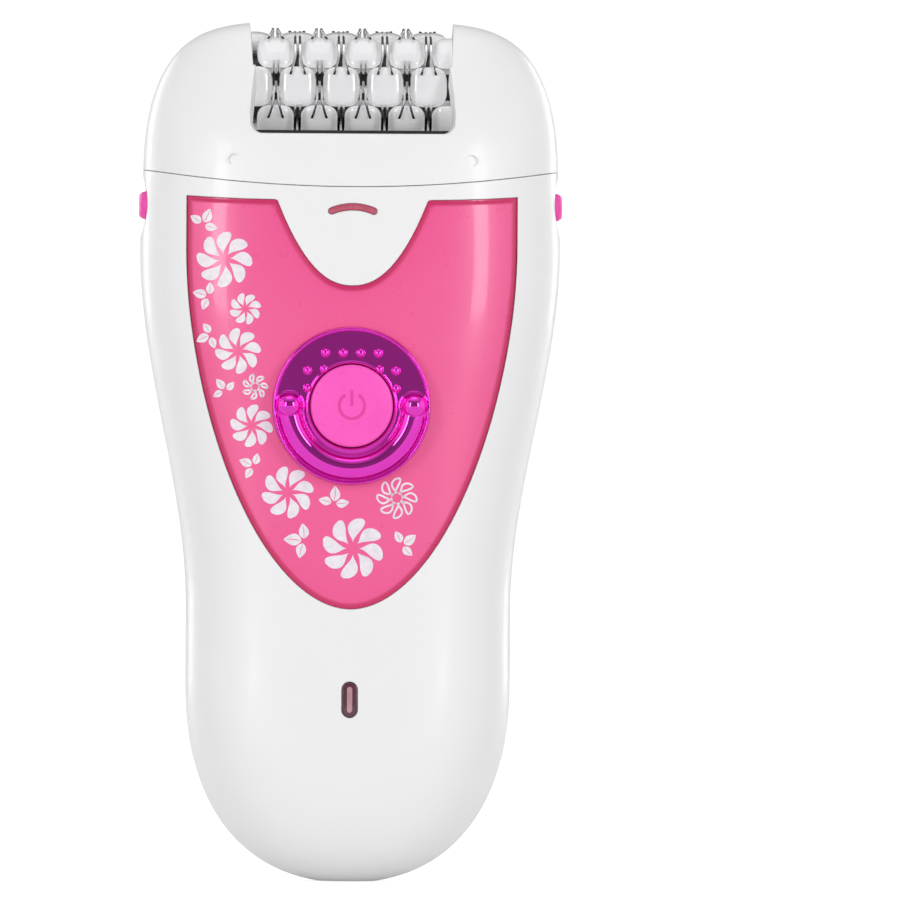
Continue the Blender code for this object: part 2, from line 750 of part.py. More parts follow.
def polar(x, radius, angle):
    return x, radius * math.cos(angle), radius * math.sin(angle)


def row_angle(row):
    """Row 1 faces the front (-Y), and the rows count down from there."""
    return math.pi + ROW_ANGLE * (row - 1)


def sheet(stations, thickness):
    """A bent strip through (x, inner radius, outer radius, angle) stations."""
    rings = []
    for x, inner, outer, angle in stations:
        left, right = x - thickness / 2, x + thickness / 2
        corners = ((left, inner), (right, inner), (right, outer), (left, outer))
        rings.append([polar(a, r, angle) for a, r in corners])
    return loft(rings)


def jaw_blade(x, side, angle):
    """The gripping edge of one tweezer plate: shut at its upper end, flared at its lower end."""
    stations = []
    for degrees, flare in ((-26, 0.0), (14, 0.0), (30, 0.75)):
        turn = angle + math.radians(degrees)
        stations.append((x + side * flare, JAW_ROOT_RADIUS, JAW_TIP_RADIUS, turn))
    return sheet(stations, JAW_THICKNESS)


def barrel(x, angle):
    """One rounded white lobe and the stalk that holds it to the hub."""
    spots = ((-20.5, 1.85, 0.55), (-12, 2.65, 0.05), (12, 2.65, 0.05), (20.5, 1.85, 0.55))
    crown = ((-1.0, 0.8), (-0.5, 0.0), (0.5, 0.0), (1.0, 0.8))
    base, top = [], []
    for degrees, width, drop in spots:
        turn = angle + math.radians(degrees)
        base.append([polar(x + share * width, 6.9, turn) for share, _ in crown])
        top.append([polar(x + share * width, BARREL_RADIUS - drop - sink, turn) for share, sink in crown])
    stalk = []
    for radius in (HUB_RADIUS - 0.5, 7.1):
        corners = ((-1.2, -0.23), (1.2, -0.23), (1.2, 0.23), (-1.2, 0.23))
        stalk.append([polar(x + dx, radius, angle + turn) for dx, turn in corners])
    return grid_slab(base, top), loft(stalk)


def ring_middle(number):
    return (number - 1 - (RINGS - 1) / 2) * PITCH


def barrel_ring(number):
    """Hub with eight barrels: four on its left column and four, half a step round, on its right."""
    middle = ring_middle(number)
    pieces = []
    for row in range(1, ROWS + 1):
        pieces += barrel(middle + (-HALF_STEP if row % 2 else HALF_STEP), row_angle(row))
    half = PITCH / 2 - 0.3
    hub = tube(HUB_RADIUS, AXLE_RADIUS + RUNNING_GAP, "x", middle - half, middle + half, (0, 0), 16)
    ring = fuse(hub, *pieces)
    if number in (1, RINGS):
        side = 1 if number == RINGS else -1
        ring = cut(ring, box(sorted((side * DRUM_END_X, side * 40)), (-20, 20), (-20, 20)))
    return ring


def jaw_star():
    """Fixed steel plate between two barrel rings, with a bent arm and blade for each row."""
    pieces = []
    for row in range(1, ROWS + 1):
        angle = row_angle(row)
        blade_x = (-HALF_STEP if row % 2 else HALF_STEP) - JAW_OFFSET
        pieces.append(jaw_blade(blade_x, -1, angle))
        arm = []
        for x, radius, half in ((0.0, 4.6, 9), (0.0, 5.5, 8), (blade_x, 6.7, 7), (blade_x, 9.1, 7)):
            lead, trail = angle - math.radians(half), angle + math.radians(half)
            left, right = x - JAW_THICKNESS / 2, x + JAW_THICKNESS / 2
            corners = ((left, lead), (right, lead), (right, trail), (left, trail))
            arm.append([polar(a, radius, t) for a, t in corners])
        pieces.append(loft(arm))
    ends = (-JAW_THICKNESS / 2, JAW_THICKNESS / 2)
    return fuse(tube(5.3, AXLE_RADIUS + RUNNING_GAP, "x", *ends, (0, 0), 16), *pieces)


def jaw_row(row):
    """Sliding bar in the valley below a row, with the moving blade of each of its tweezers."""
    angle = row_angle(row)
    valley = angle + ROW_ANGLE / 2
    bar = []
    for x in (-15.5, 16.3):
        corners = ((5.72, -0.066), (5.72, 0.066), (6.45, 0.066), (6.45, -0.066))
        bar.append([polar(x, radius, valley + turn) for radius, turn in corners])
    pieces = []
    for gap in range(RINGS - 1):
        x = (gap - (RINGS - 2) / 2) * PITCH + (-HALF_STEP if row % 2 else HALF_STEP) + JAW_OFFSET
        pieces.append(jaw_blade(x, 1, angle))
        web = []
        for radius, lead, trail in ((6.1, 19.6, 25.2), (7.4, 12.0, 20.0), (9.1, 3.0, 13.0)):
            corners = ((-0.5, lead), (0.5, lead), (0.5, trail), (-0.5, trail))
            turned = [(x + share * JAW_THICKNESS, math.radians(t)) for share, t in corners]
            web.append([polar(px, radius, angle + turn) for px, turn in turned])
        pieces.append(loft(web))
    return fuse(loft(bar), *pieces)


# ---------------------------------------------------------------- controls and lights


def switch_ring():
    """Plated ring round the power button: two balls joined by a smile-shaped ridge."""
    profile = [
        (RING_BORE, RING_BACK_Y),
        (RING_RADIUS, RING_BACK_Y),
        (RING_RADIUS, RING_FACE_Y - 0.1),
        (RING_RADIUS - 0.35, RING_FACE_Y - 0.3),
        (RING_RADIUS - 0.8, RING_FACE_Y),
        (RING_BORE, RING_FACE_Y),
    ]
    ring = lathe(profile, "y", segments=40)
    rings, steps = [], 14
    for i in range(steps + 1):
        t = math.pi + math.pi * i / steps
        middle = Vector((RIDGE_RADIUS * math.cos(t), RING_FACE_Y + 0.3, RIDGE_RADIUS * math.sin(t)))
        out = Vector((math.cos(t), 0, math.sin(t)))
        loop = []
        for k in range(6):
            a = math.pi / 3 * k
            loop.append(middle + out * 1.6 * math.cos(a) + Vector((0, -1.3, 0)) * math.sin(a))
        rings.append(loop)
    pieces = [loft(rings)]
    for side in (-1, 1):
        arc = [math.pi * i / 6 for i in range(7)]
        profile = [(1.95 * math.sin(a), RING_FACE_Y + 0.1 - 1.7 * math.cos(a)) for a in arc]
        profile[0], profile[-1] = (0, profile[0][1]), (0, RING_BACK_Y - 0.1)
        pieces.append(lathe(profile, "y", (side * RIDGE_RADIUS, 0), 12))
    return fuse(ring, *pieces)


def power_button():
    profile = [
        (0, BUTTON_FRONT_Y),
        (4.0, BUTTON_FRONT_Y + 0.08),
        (BUTTON_RADIUS - 0.5, BUTTON_FRONT_Y + 0.25),
        (BUTTON_RADIUS, BUTTON_FRONT_Y + 0.7),
        (BUTTON_RADIUS, -14.4),
        (7.3, -14.4),
        (7.3, -13.5),
        (1.6, -13.5),
        (1.6, -12.7),
        (0, -12.7),
    ]
    return lathe(profile, "y", segments=28)


def release_button(side):
    """Oval button with a J-shaped hook that passes under the head's latch leg."""
    outline = stadium(RELEASE_HALF_LENGTH, RELEASE_HALF_HEIGHT)
    pill = prism(outline, "x", 28.4, RELEASE_FACE_X - 0.5)
    cap = []
    for sunk, share in ((0.7, 1.0), (0.4, 0.98), (0.0, 0.8)):
        cap.append([(RELEASE_FACE_X - sunk, y * share, z * share) for y, z in outline])
    low = HOOK_Z - RELEASE_Z
    pieces = [loft(cap)]
    pieces.append(box((27.6, 28.6), (-5.9, 5.9), (low, 2.6)))
    pieces.append(box((23.0, 27.8), (-2.2, 2.2), (low, low + 0.9)))
    pieces.append(box((23.0, 23.9), (-2.2, 2.2), (low, low + 3.0)))
    pieces.append(box((23.7, 24.85), (-2.2, 2.2), (low + 1.9, low + 3.0)))
    shape = fuse(pill, *pieces)
    moved(shape, (-RELEASE_FACE_X, 0, 0))
    return shape if side > 0 else mirrored_x(shape)


def skin_light():
    """Five-millimetre style lamp behind the crescent window, with two bent legs to the board."""
    lamp = cylinder(1.5, "y", -15.4, -11.6, (0, 104.9), 12)
    pieces = []
    for side in (-1, 1):
        x = sorted((side * 0.8, side * 1.2))
        pieces.append(box(x, (-11.8, -10.8), (104.6, 105.0)))
        pieces.append(box(x, (-11.2, -10.8), (95.5, 105.0)))
        pieces.append(box(x, (-11.2, -8.6), (95.5, 95.9)))
    return fuse(lamp, *pieces)


# ---------------------------------------------------------------- power and drive


def chassis():
    """Inner frame: deck under the head, spring seats, motor rails and battery cradle."""
    deck = [full_ring(100.0, SHELL_WALL + 1.3, 24, z) for z in DECK_Z]
    plate = loft(deck, (0, 0, DECK_Z[0]), (0, 0, DECK_Z[1]))
    plate = cut(plate, box((-40, 40), (-30, -9.8), (90, 110)))
    pieces = []
    for side in (-1, 1):
        pieces.append(box(sorted((side * 16.8, side * 18.0)), (-2, 2), (101.0, 105.0)))
        pieces.append(box(sorted((side * 10.9, side * 12.1)), (-2, 8), (70.4, 100.3)))
        pieces.append(box(sorted((side * 7.7, side * 8.9)), (0, 8), (16.6, 71.0)))
    pieces.append(box((-12.0, 12.0), (-1.9, 7.9), (70.3, 71.5)))
    pieces.append(box((-8.8, 8.8), (-2, 9), (16.2, 17.4)))
    frame = fuse(plate, *pieces)
    return cut(frame, cylinder(2.9, "z", 99, 103, (0, LAY_Y), 16))


def motor_can():
    outline = []
    flat = math.asin(MOTOR_FLAT / MOTOR_RADIUS)
    for middle in (0.0, math.pi):
        for i in range(9):
            t = middle - flat + 2 * flat * i / 8
            outline.append((MOTOR_RADIUS * math.cos(t), MOTOR_RADIUS * math.sin(t) + LAY_Y))
    can = prism(outline, "z", *MOTOR_Z)
    can = fuse(can, cylinder(2.6, "z", MOTOR_Z[1] - 0.5, MOTOR_Z[1] + 0.9, (0, LAY_Y), 14))
    return cut(can, cylinder(0.85, "z", 95.0, 103, (0, LAY_Y), 10))


def battery_cell():
    low, high = BATTERY_Z
    profile = [(0, low), (BATTERY_RADIUS - 0.4, low), (BATTERY_RADIUS, low + 0.5)]
    profile += [(BATTERY_RADIUS, high - 1.6), (BATTERY_RADIUS - 0.5, high - 1.1)]
    profile += [(2.7, high - 1.1), (2.7, high), (0, high)]
    return lathe(profile, "z", (0, BATTERY_Y), 20)


def battery_contact(z, spring_side):
    plate = box((-5, 5), (0.5, 7.5), (z, z + 0.4))
    tab = box((-1.5, 1.5), (-3.6, 1.0), (z, z + 0.4))
    dimple = cylinder(2.2, "z", *sorted((z + 0.2, z + 0.2 + spring_side)), (0, BATTERY_Y), 10)
    return fuse(plate, tab, dimple)


def charging_socket():
    """Barrel jack in the base: a round nose in the shells' hole, and a centre pin."""
    jack = fuse(box((-4.2, 4.2), (-3.8, 3.8), (3.7, 13.5)), cylinder(2.85, "z", 0.5, 4.1, segments=20))
    jack = cut(jack, cylinder(1.95, "z", -1, 11.0, segments=16))
    return fuse(jack, cylinder(0.65, "z", 2.0, 11.4, segments=8))


def case_screw():
    """Screw along Y with a cross recess, its head towards the back."""
    profile = [(0, -11.9), (0.9, -11.3), (0.9, 0), (1.85, 0), (1.85, 1.0), (0, 1.0)]
    screw = lathe(profile, "y", segments=10)
    slot = box((-1.1, 1.1), (0.7, 2), (-0.2, 0.2))
    cross = box((-0.2, 0.2), (0.7, 2), (-1.1, 1.1))
    return cut(cut(screw, slot), cross)


def coil_spring(length, radius, wire, turns=4, steps=6):
    """Compression spring along X, from 0 to length."""
    rings = []
    for i in range(turns * steps + 1):
        t = 2 * math.pi * i / steps
        x = wire + (length - 2 * wire) * i / (turns * steps)
        out = Vector((0, math.cos(t), math.sin(t)))
        centre = Vector((x, 0, 0)) + out * radius
        corners = ((1, 0), (0, 1), (-1, 0), (0, -1))
        rings.append([centre + (out * a + Vector((b, 0, 0))) * wire for a, b in corners])
    return loft(rings)


def wire_run(points, radius=0.55, sides=6):
    """An insulated wire through the given points, with flat ends."""
    path = [Vector(p) for p in points]
    rings = []
    for i, point in enumerate(path):
        ahead = (path[min(i + 1, len(path) - 1)] - path[max(i - 1, 0)]).normalized()
        across = ahead.cross(Vector((1, 0, 0))).normalized()
        up = ahead.cross(across)
        turns = [2 * math.pi * k / sides for k in range(sides)]
        rings.append([point + (across * math.cos(t) + up * math.sin(t)) * radius for t in turns])
    return loft(rings)


# ---------------------------------------------------------------- assembly


def build_body(mats):
    add_part("front_shell", front_shell(), mats["white_gloss"])
    add_part("rear_shell", rear_shell(), mats["white_gloss"])
    add_part("decor_panel", decor_panel(), mats["pink_panel"])
    add_part("switch_ring", switch_ring(), mats["magenta_chrome"], (0, 0, SWITCH_Z))
    add_part("lamp_window", prism(lamp_arc(), "y", -18.45, -15.6), mats["pink_window"])
    add_part("indicator_lens", prism(lens_outline(), "y", -16.4, -13.2), mats["smoked_lens"])
    add_part("chassis", chassis(), mats["white_inner"])
    add_part("motor_can", motor_can(), mats["steel"])
    add_part("battery_cell", battery_cell(), mats["battery_wrap"])
    add_part("battery_contact_plus", battery_contact(68.9, -0.5), mats["steel"])
    add_part("battery_contact_minus", battery_contact(17.7, 0.9), mats["steel"])
    add_part("circuit_board", box((-8, 8), BOARD_Y, (22, 98.5)), mats["board_green"])
    switch = box((-3, 3), (-11.8, -8.7), (SWITCH_Z - 3, SWITCH_Z + 3))
    switch = cut(switch, cylinder(1.7, "y", -13, -9.8, (0, SWITCH_Z), 14))
    add_part("switch_base", switch, mats["black_plastic"])
    add_part("skin_light_led", skin_light(), mats["led_clear"])
    led = box((-1.6, 1.6), (-11.9, -8.7), (LENS_Z - 1, LENS_Z + 1))
    add_part("indicator_led", led, mats["led_clear"])
    add_part("charging_socket", charging_socket(), mats["black_plastic"])
    path = ((-6.5, 60), (-5.6, 64), (-4.2, 67.5), (-3.0, 72.5), (-1.0, 73.4))
    for name, x, surface in (("wire_red", 5, "wire_red"), ("wire_black", -5, "black_plastic")):
        add_part(name, wire_run([(x, y, z) for y, z in path]), mats[surface])
    places = [(x, 5.5, z) for x, z in SCREW_SPOTS]
    screw = add_part("case_screw_1", case_screw(), mats["steel"], places[0])
    for number, place in enumerate(places[1:], 2):
        add_copy(f"case_screw_{number}", screw.data, place)


def build_controls(mats):
    add_part("power_button", moved(power_button(), (0, 17, 0)), mats["pink_button"], (0, -17, SWITCH_Z))
    plunger = cylinder(1.4, "y", 4.6, 6.2, segments=12)
    add_part("switch_plunger", plunger, mats["black_plastic"], (0, -17, SWITCH_Z))
    for name, side in (("left", -1), ("right", 1)):
        place = (side * RELEASE_FACE_X, 0, RELEASE_Z)
        add_part(f"release_button_{name}", release_button(side), mats["pink_button"], place)
        spring = coil_spring(4.4, 1.1, 0.22)
        spring = spring if side > 0 else mirrored_x(spring)
        add_part(f"release_spring_{name}", spring, mats["steel"], (side * 18.3, 0, HOOK_Z + 1.5))


def build_head(mats):
    head = add_pivot("head_pivot", (0, 0, SEAM_Z))
    seat = (0, 0, 0)
    add_part("head_cover", head_cover(), mats["white_gloss"], seat, head)
    add_part("head_frame", head_frame(), mats["white_inner"], seat, head)
    add_part("drum_trough", drum_trough(), mats["black_plastic"], seat, head)
    axis = (0, 0, DRUM_Z)
    add_part("closing_cam", closing_cam(), mats["gear_nylon"], axis, head)
    for name, ends in (("left", (-CHEEK_X[1], -CHEEK_X[0])), ("right", CHEEK_X)):
        bush = tube(2.95, AXLE_RADIUS + RUNNING_GAP, "x", *ends, (0, 0), 16)
        add_part(f"bush_{name}", bush, mats["brass"], axis, head)
    idler = (0, *idler_centre())
    pin = cylinder(0.95, "x", CHEEK_X[0], SPUR_X[1] + 0.5, segments=12)
    add_part("idler_pin", pin, mats["steel"], idler, head)


def build_gears(mats):
    drum_centre, idler_at, lay_at = (0, DRUM_Z), idler_centre(), (LAY_Y, LAY_Z)
    idler_phase = mesh_phase(0.0, DRUM_TEETH, drum_centre, IDLER_TEETH, idler_at)
    lay_phase = mesh_phase(idler_phase, IDLER_TEETH, idler_at, LAY_TEETH, lay_at)
    lay = add_pivot("layshaft_pivot", (0, *lay_at))
    place = (0, *lay_at)
    shaft = cylinder(LAY_RADIUS, "x", -9.2, 22.6, segments=12)
    add_part("lay_shaft", shaft, mats["steel"], place, lay)
    add_part("crown_gear", crown_gear(), mats["gear_nylon"], place, lay)
    pinion = spur_gear(LAY_TEETH, SPUR_MODULE, "x", *SPUR_X, LAY_RADIUS + 0.05, lay_phase)
    add_part("lay_pinion", pinion, mats["gear_nylon"], place, lay)
    idler = spur_gear(IDLER_TEETH, SPUR_MODULE, "x", *SPUR_X, 0.95 + RUNNING_GAP, idler_phase)
    add_part("idler_gear", idler, mats["gear_nylon"], (0, *idler_at))
    rotor = add_pivot("rotor_pivot", (0, LAY_Y, MOTOR_Z[1]))
    spot = (0, LAY_Y, MOTOR_Z[1])
    add_part("motor_shaft", cylinder(0.75, "z", -4.0, 6.3, segments=12), mats["steel"], spot, rotor)
    half_tooth = math.pi / MOTOR_PINION_TEETH
    drive = spur_gear(MOTOR_PINION_TEETH, CROWN_MODULE, "z", 3.1, 6.1, 0.8, half_tooth)
    add_part("drive_pinion", drive, mats["brass"], spot, rotor)


def build_drum(mats):
    axis = (0, 0, DRUM_Z)
    drum = add_pivot("drum_pivot", axis)
    axle = cylinder(AXLE_RADIUS, "x", -20.6, 22.6, segments=16)
    add_part("drum_axle", axle, mats["steel"], axis, drum)
    gear = spur_gear(DRUM_TEETH, SPUR_MODULE, "x", *SPUR_X, AXLE_RADIUS + 0.05, 0.0)
    add_part("drum_gear", gear, mats["gear_nylon"], axis, drum)
    for number in range(1, RINGS + 1):
        middle = ring_middle(number)
        ring = moved(barrel_ring(number), (-middle, 0, 0))
        add_part(f"barrel_ring_{number}", ring, mats["pearl"], (middle, 0, DRUM_Z), drum)
    places = [((number - RINGS / 2) * PITCH, 0, DRUM_Z) for number in range(1, RINGS)]
    star = add_part("jaw_star_1", jaw_star(), mats["steel"], places[0], drum)
    for number, place in enumerate(places[1:], 2):
        add_copy(f"jaw_star_{number}", star.data, place, drum)
    for row in range(1, ROWS + 1):
        add_part(f"jaw_row_{row}", jaw_row(row), mats["steel"], axis, drum)


def main():
    for obj in list(bpy.data.objects):
        bpy.data.objects.remove(obj)
    mats = make_materials()
    build_body(mats)
    build_controls(mats)
    build_head(mats)
    build_gears(mats)
    build_drum(mats)


main()
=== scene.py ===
"""Looks for the epilator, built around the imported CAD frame.

Shapes are worked out in millimetres, in the CAD's own frame: +Z up, the front facing -Y. add_piece()
scales them to metres and makes them ride on a CAD body.
"""

import json
from math import asin, copysign, cos, hypot, pi, radians, sin, sqrt

import bmesh
import bpy
import numpy as np
from mathutils import Matrix, Vector


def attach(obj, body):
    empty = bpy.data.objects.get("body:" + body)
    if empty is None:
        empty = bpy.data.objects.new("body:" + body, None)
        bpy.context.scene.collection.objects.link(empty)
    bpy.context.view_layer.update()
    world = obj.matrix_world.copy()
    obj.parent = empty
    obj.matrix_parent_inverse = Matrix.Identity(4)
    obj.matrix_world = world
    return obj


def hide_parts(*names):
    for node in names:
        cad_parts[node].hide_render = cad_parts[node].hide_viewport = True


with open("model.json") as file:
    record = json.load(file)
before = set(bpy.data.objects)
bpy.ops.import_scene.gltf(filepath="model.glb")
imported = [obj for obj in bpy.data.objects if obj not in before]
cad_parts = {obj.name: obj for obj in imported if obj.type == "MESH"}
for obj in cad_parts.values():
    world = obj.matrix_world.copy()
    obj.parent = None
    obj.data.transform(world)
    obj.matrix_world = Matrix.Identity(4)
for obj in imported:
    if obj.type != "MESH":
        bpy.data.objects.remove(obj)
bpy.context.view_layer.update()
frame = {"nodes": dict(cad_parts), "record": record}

MM = 0.001

# ---- sizes, most of them shared with the CAD

SECTION_POWER = 2.4
WIDTH_DOME_HEIGHT = 33.0
DEPTH_DOME_HEIGHT = 28.0
DOME_CUT = 0.3
GRIP_HALF_WIDTH = 25.5
SHOULDER_GAIN = 7.5
GRIP_HALF_DEPTH = 16.3
DEPTH_GAIN = 2.0
REAR_EXTRA = 1.0
SEAM_Z = 108.9
SEAM_RISE = 2.6
SEAM_HALF_WIDTH = 32.6
HEAD_BASE_Z = 111.0
HEAD_RISE = 24.05
SHELL_WALL = 2.4
FLOOR_WALL = 2.2
HEAD_WALL = 1.5
SEAM_GAP = 0.1
CHARGING_HOLE_RADIUS = 3.1

PANEL_HALF_WIDTH = 25.9
PANEL_BOTTOM_Z = 42.8
PANEL_WIDEST_Z = 98.0
PANEL_BELOW_SEAM = 2.4
PANEL_THICKNESS = 0.95
PANEL_RECESS = 1.2
PANEL_BEVEL = 1.1
NOTCH_BOTTOM_Z = 93.4
NOTCH_HALF_WIDTH = 11.8

SWITCH_Z = 74.6
RING_RADIUS = 12.3
RING_BORE = 6.62
RING_BACK_Y = -17.05
RING_FACE_Y = -18.5
RIDGE_RADIUS = 9.75
BALL_RADIUS = 1.85
DOT_PITCH = 2.77
DOT_RADIUS = 0.68
BUTTON_RADIUS = 6.45
BUTTON_FRONT_Y = -19.6
BUTTON_EDGE = 0.5
SIGN_RADIUS = 1.98

LAMP_Z = 105.75
LAMP_ARC_RADIUS = 8.4
LAMP_HALF_TURN = asin(3.3 / LAMP_ARC_RADIUS)
LAMP_THICK = 0.5
LENS_Z = 28.6
RELEASE_Z = 106.0
RELEASE_FACE_X = 33.2
RELEASE_HALF_LENGTH = 5.3
RELEASE_HALF_HEIGHT = 2.2
SCOOP_RADIUS = 15.6
SCOOP_X = 47.6
SCOOP_Z = 106.4
SCREW_SPOTS = ((-20.0, 90.0), (20.0, 90.0), (-14.5, 40.0), (14.5, 40.0))
SCREW_HEAD_Y = 5.5
SPRING_X = 18.3
SPRING_Z = 103.1
SPRING_LENGTH = 4.4
SPRING_RADIUS = 1.1
SPRING_WIRE = 0.22

WINDOW_BOTTOM_Z = 117.5
WINDOW_CORNER = 1.8
HEAD_MARK_X = 18.6
HEAD_MARK_Z = 113.1
DRUM_Z = 124.7
PITCH = 6.85
HALF_STEP = PITCH / 4
RINGS = 5
ROWS = 8
ROW_ANGLE = 2 * pi / ROWS
DRUM_END_X = 15.75
AXLE_BORE = 1.6
HUB_RADIUS = 5.4
BARREL_RADIUS = 8.75
BARREL_HALF_WIDTH = 2.92
BARREL_HALF_LENGTH = 3.55
JAW_TIP_RADIUS = 9.35
JAW_ROOT_RADIUS = 8.85
JAW_THICKNESS = 0.38
JAW_OFFSET = 0.375


# ---- outer form


def smoothstep(t):
    t = np.clip(t, 0.0, 1.0)
    return t * t * (3 - 2 * t)


def dome_factor(z, height, power, root):
    """How far the rounded bottom has opened at height z."""
    u = np.maximum(0.0, (height - DOME_CUT - z) / height)
    return np.maximum(0.0, 1 - u**power) ** root


def half_width(z):
    z = np.asarray(z, float)
    low = GRIP_HALF_WIDTH + SHOULDER_GAIN * smoothstep((z - 43) / 56)
    low = low - 0.4 * np.maximum(0.0, (z - 98) / 13) ** 2
    u = np.clip((z - HEAD_BASE_Z) / HEAD_RISE, 0.0, 1.0)
    high = SEAM_HALF_WIDTH * (1 - u**2.2) ** 0.19
    return np.where(z <= HEAD_BASE_Z, low * dome_factor(z, WIDTH_DOME_HEIGHT, 2.5, 0.45), high)


def half_depth(z, rear=False):
    z = np.asarray(z, float)
    extra = REAR_EXTRA if rear else 0.0
    low = GRIP_HALF_DEPTH + DEPTH_GAIN * smoothstep((z - 30) / 70) + extra
    u = np.clip((z - HEAD_BASE_Z) / HEAD_RISE, 0.0, 1.0)
    high = 3 + (GRIP_HALF_DEPTH + DEPTH_GAIN - 3 + extra) * (1 - u**1.5) ** 0.72
    return np.where(z <= HEAD_BASE_Z, low * dome_factor(z, DEPTH_DOME_HEIGHT, 3.0, 0.33), high)


def seam_z(x):
    return SEAM_Z + SEAM_RISE * (x / SEAM_HALF_WIDTH) ** 2


def hood(x, z):
    """How far the soft swelling under the skin light stands out of the front."""
    reach = (x / 6.2) ** 2 + ((z - 101.3) / 4.6) ** 2
    return 0.42 * np.maximum(0.0, 1 - reach) ** 2


def front_y(x, z, inset=0.0):
    share = np.minimum(1.0, np.abs(x) / (half_width(z) - inset))
    return -(half_depth(z) - inset) * (1 - share**SECTION_POWER) ** (1 / SECTION_POWER)


def rear_y(x, z):
    share = np.abs(x) / half_width(z)
    return float(half_depth(z, True) * (1 - share**SECTION_POWER) ** (1 / SECTION_POWER))


def follow_seam(x, z):
    """Bends heights under the head so that they run along the curved seam."""
    return z + (seam_z(x) - SEAM_Z) * smoothstep((z - 88) / (SEAM_Z - 88))


def panel_bottom_z(x):
    """Lower outline of the front panel at x."""
    share = np.minimum(1.0, np.abs(x) / PANEL_HALF_WIDTH)
    u = np.maximum(0.0, 1 - share ** (1 / 0.52)) ** (1 / 1.7)
    return PANEL_WIDEST_Z - (PANEL_WIDEST_Z - PANEL_BOTTOM_Z) * u


def panel_top_z(x):
    """Upper outline of the front panel at x, down in the notch round the white tongue."""
    top = SEAM_Z - PANEL_BELOW_SEAM
    u = np.minimum(1.0, np.abs(x) / NOTCH_HALF_WIDTH) ** (1 / 0.45)
    notch = NOTCH_BOTTOM_Z + (top - NOTCH_BOTTOM_Z) * u
    return np.where(np.abs(x) < NOTCH_HALF_WIDTH, notch, top - 0.045 * (np.abs(x) - NOTCH_HALF_WIDTH))


# ---- mesh tools, in millimetres


class Shape:
    """Vertices and faces in millimetres, gathered from one or more closed surfaces."""

    def __init__(self, verts=(), faces=()):
        self.verts = [tuple(float(c) for c in v) for v in verts]
        self.faces = [tuple(int(i) for i in face) for face in faces]

    def add(self, other):
        base = len(self.verts)
        self.verts += other.verts
        self.faces += [tuple(i + base for i in face) for face in other.faces]
        return self


def turns(count):
    """Evenly spaced angles once round."""
    return [2 * pi * i / count for i in range(count)]


def steps_between(start, end, steps):
    return [start + (end - start) * i / steps for i in range(steps + 1)]


def along(axis, a, b, h):
    """The point at height h on an axis, a and b beside it."""
    return {"x": (h, a, b), "y": (a, h, b), "z": (a, b, h)}[axis]


def loft(rings, bottom=None, top=None):
    """Closed surface through rings of points; each cap fans out from ring point 0, or from a centre."""
    count = len(rings[0])
    verts = [point for ring in rings for point in ring]
    last = len(verts) - count
    faces = []
    for a in range(0, last, count):
        for i in range(count):
            j = (i + 1) % count
            faces.append((a + i, a + j, a + count + j, a + count + i))
    for start, centre in ((0, bottom), (last, top)):
        hub, fan = start, range(1, count - 1)
        if centre is not None:
            hub, fan = len(verts), range(count)
            verts.append(centre)
        cap = [(hub, start + i, start + (i + 1) % count) for i in fan]
        faces += cap if start else [face[::-1] for face in cap]
    return Shape(verts, faces)


def slab(back, front):
    """Closed slab between two grids of points with the same rows and columns."""
    sheets = np.array((back, front), float)
    size = sheets[0].size // 3
    spots = np.arange(size).reshape(sheets.shape[1:3])
    quads = np.stack((spots[:-1, :-1], spots[:-1, 1:], spots[1:, 1:], spots[1:, :-1]), axis=-1)
    quads = quads.reshape(-1, 4)
    rim = [*spots[0, :-1], *spots[:-1, -1], *spots[-1, :0:-1], *spots[:0:-1, 0]]
    walls = [(a, b, b + size, a + size) for a, b in zip(rim, rim[1:] + rim[:1])]
    return Shape(sheets.reshape(-1, 3), [*quads, *(quads + size), *walls])


def lathe(profile, axis, centre=(0, 0), segments=96, closed=False):
    """Turns (radius, height) points about an axis. A radius of 0 becomes one point."""
    shape = Shape()
    loops = []
    for radius, height in profile:
        loop = []
        for t in turns(segments if radius > 1e-9 else 1):
            loop.append(len(shape.verts))
            a, b = centre[0] + radius * cos(t), centre[1] + radius * sin(t)
            shape.verts.append(along(axis, a, b, height))
        loops.append(loop)
    pairs = list(zip(loops, loops[1:])) + ([(loops[-1], loops[0])] if closed else [])
    for one, two in pairs:
        for i in range(segments):
            j = (i + 1) % segments
            corners = [one[i % len(one)], one[j % len(one)], two[j % len(two)], two[i % len(two)]]
            face = tuple(dict.fromkeys(corners))
            if len(face) > 2:
                shape.faces.append(face)
    return shape


def prism(outline, axis, low, high):
    count = len(outline)
    verts = [along(axis, a, b, h) for h in (low, high) for a, b in outline]
    faces = [(i, (i + 1) % count, count + (i + 1) % count, count + i) for i in range(count)]
    faces += [tuple(range(count))[::-1], tuple(range(count, 2 * count))]
    return Shape(verts, faces)


def box(x, y, z):
    """Block between a low and a high value on each axis."""
    return prism(((x[0], y[0]), (x[1], y[0]), (x[1], y[1]), (x[0], y[1])), "z", z[0], z[1])


def circle(radius, centre=(0, 0), segments=96):
    around = [2 * pi * (i + 0.5) / segments for i in range(segments)]
    return [(centre[0] + radius * cos(t), centre[1] + radius * sin(t)) for t in around]


def arc_points(radius, start, end, steps=48):
    return [(radius * cos(t), radius * sin(t)) for t in steps_between(start, end, steps)]


def stadium(half_length, half_height, segments=20):
    """Outline with straight sides and round ends."""
    points = []
    for side, start in ((1, -pi / 2), (-1, pi / 2)):
        end = arc_points(half_height, start, start + pi, segments)
        points += [(side * (half_length - half_height) + a, b) for a, b in end]
    return points


def bulge(radius, height, y, sweep, steps):
    """Profile of a dome, or of a ball with a sweep of half a turn, standing out to the front."""
    return [(radius * sin(a), y - height * cos(a)) for a in steps_between(0.0, sweep, steps)]


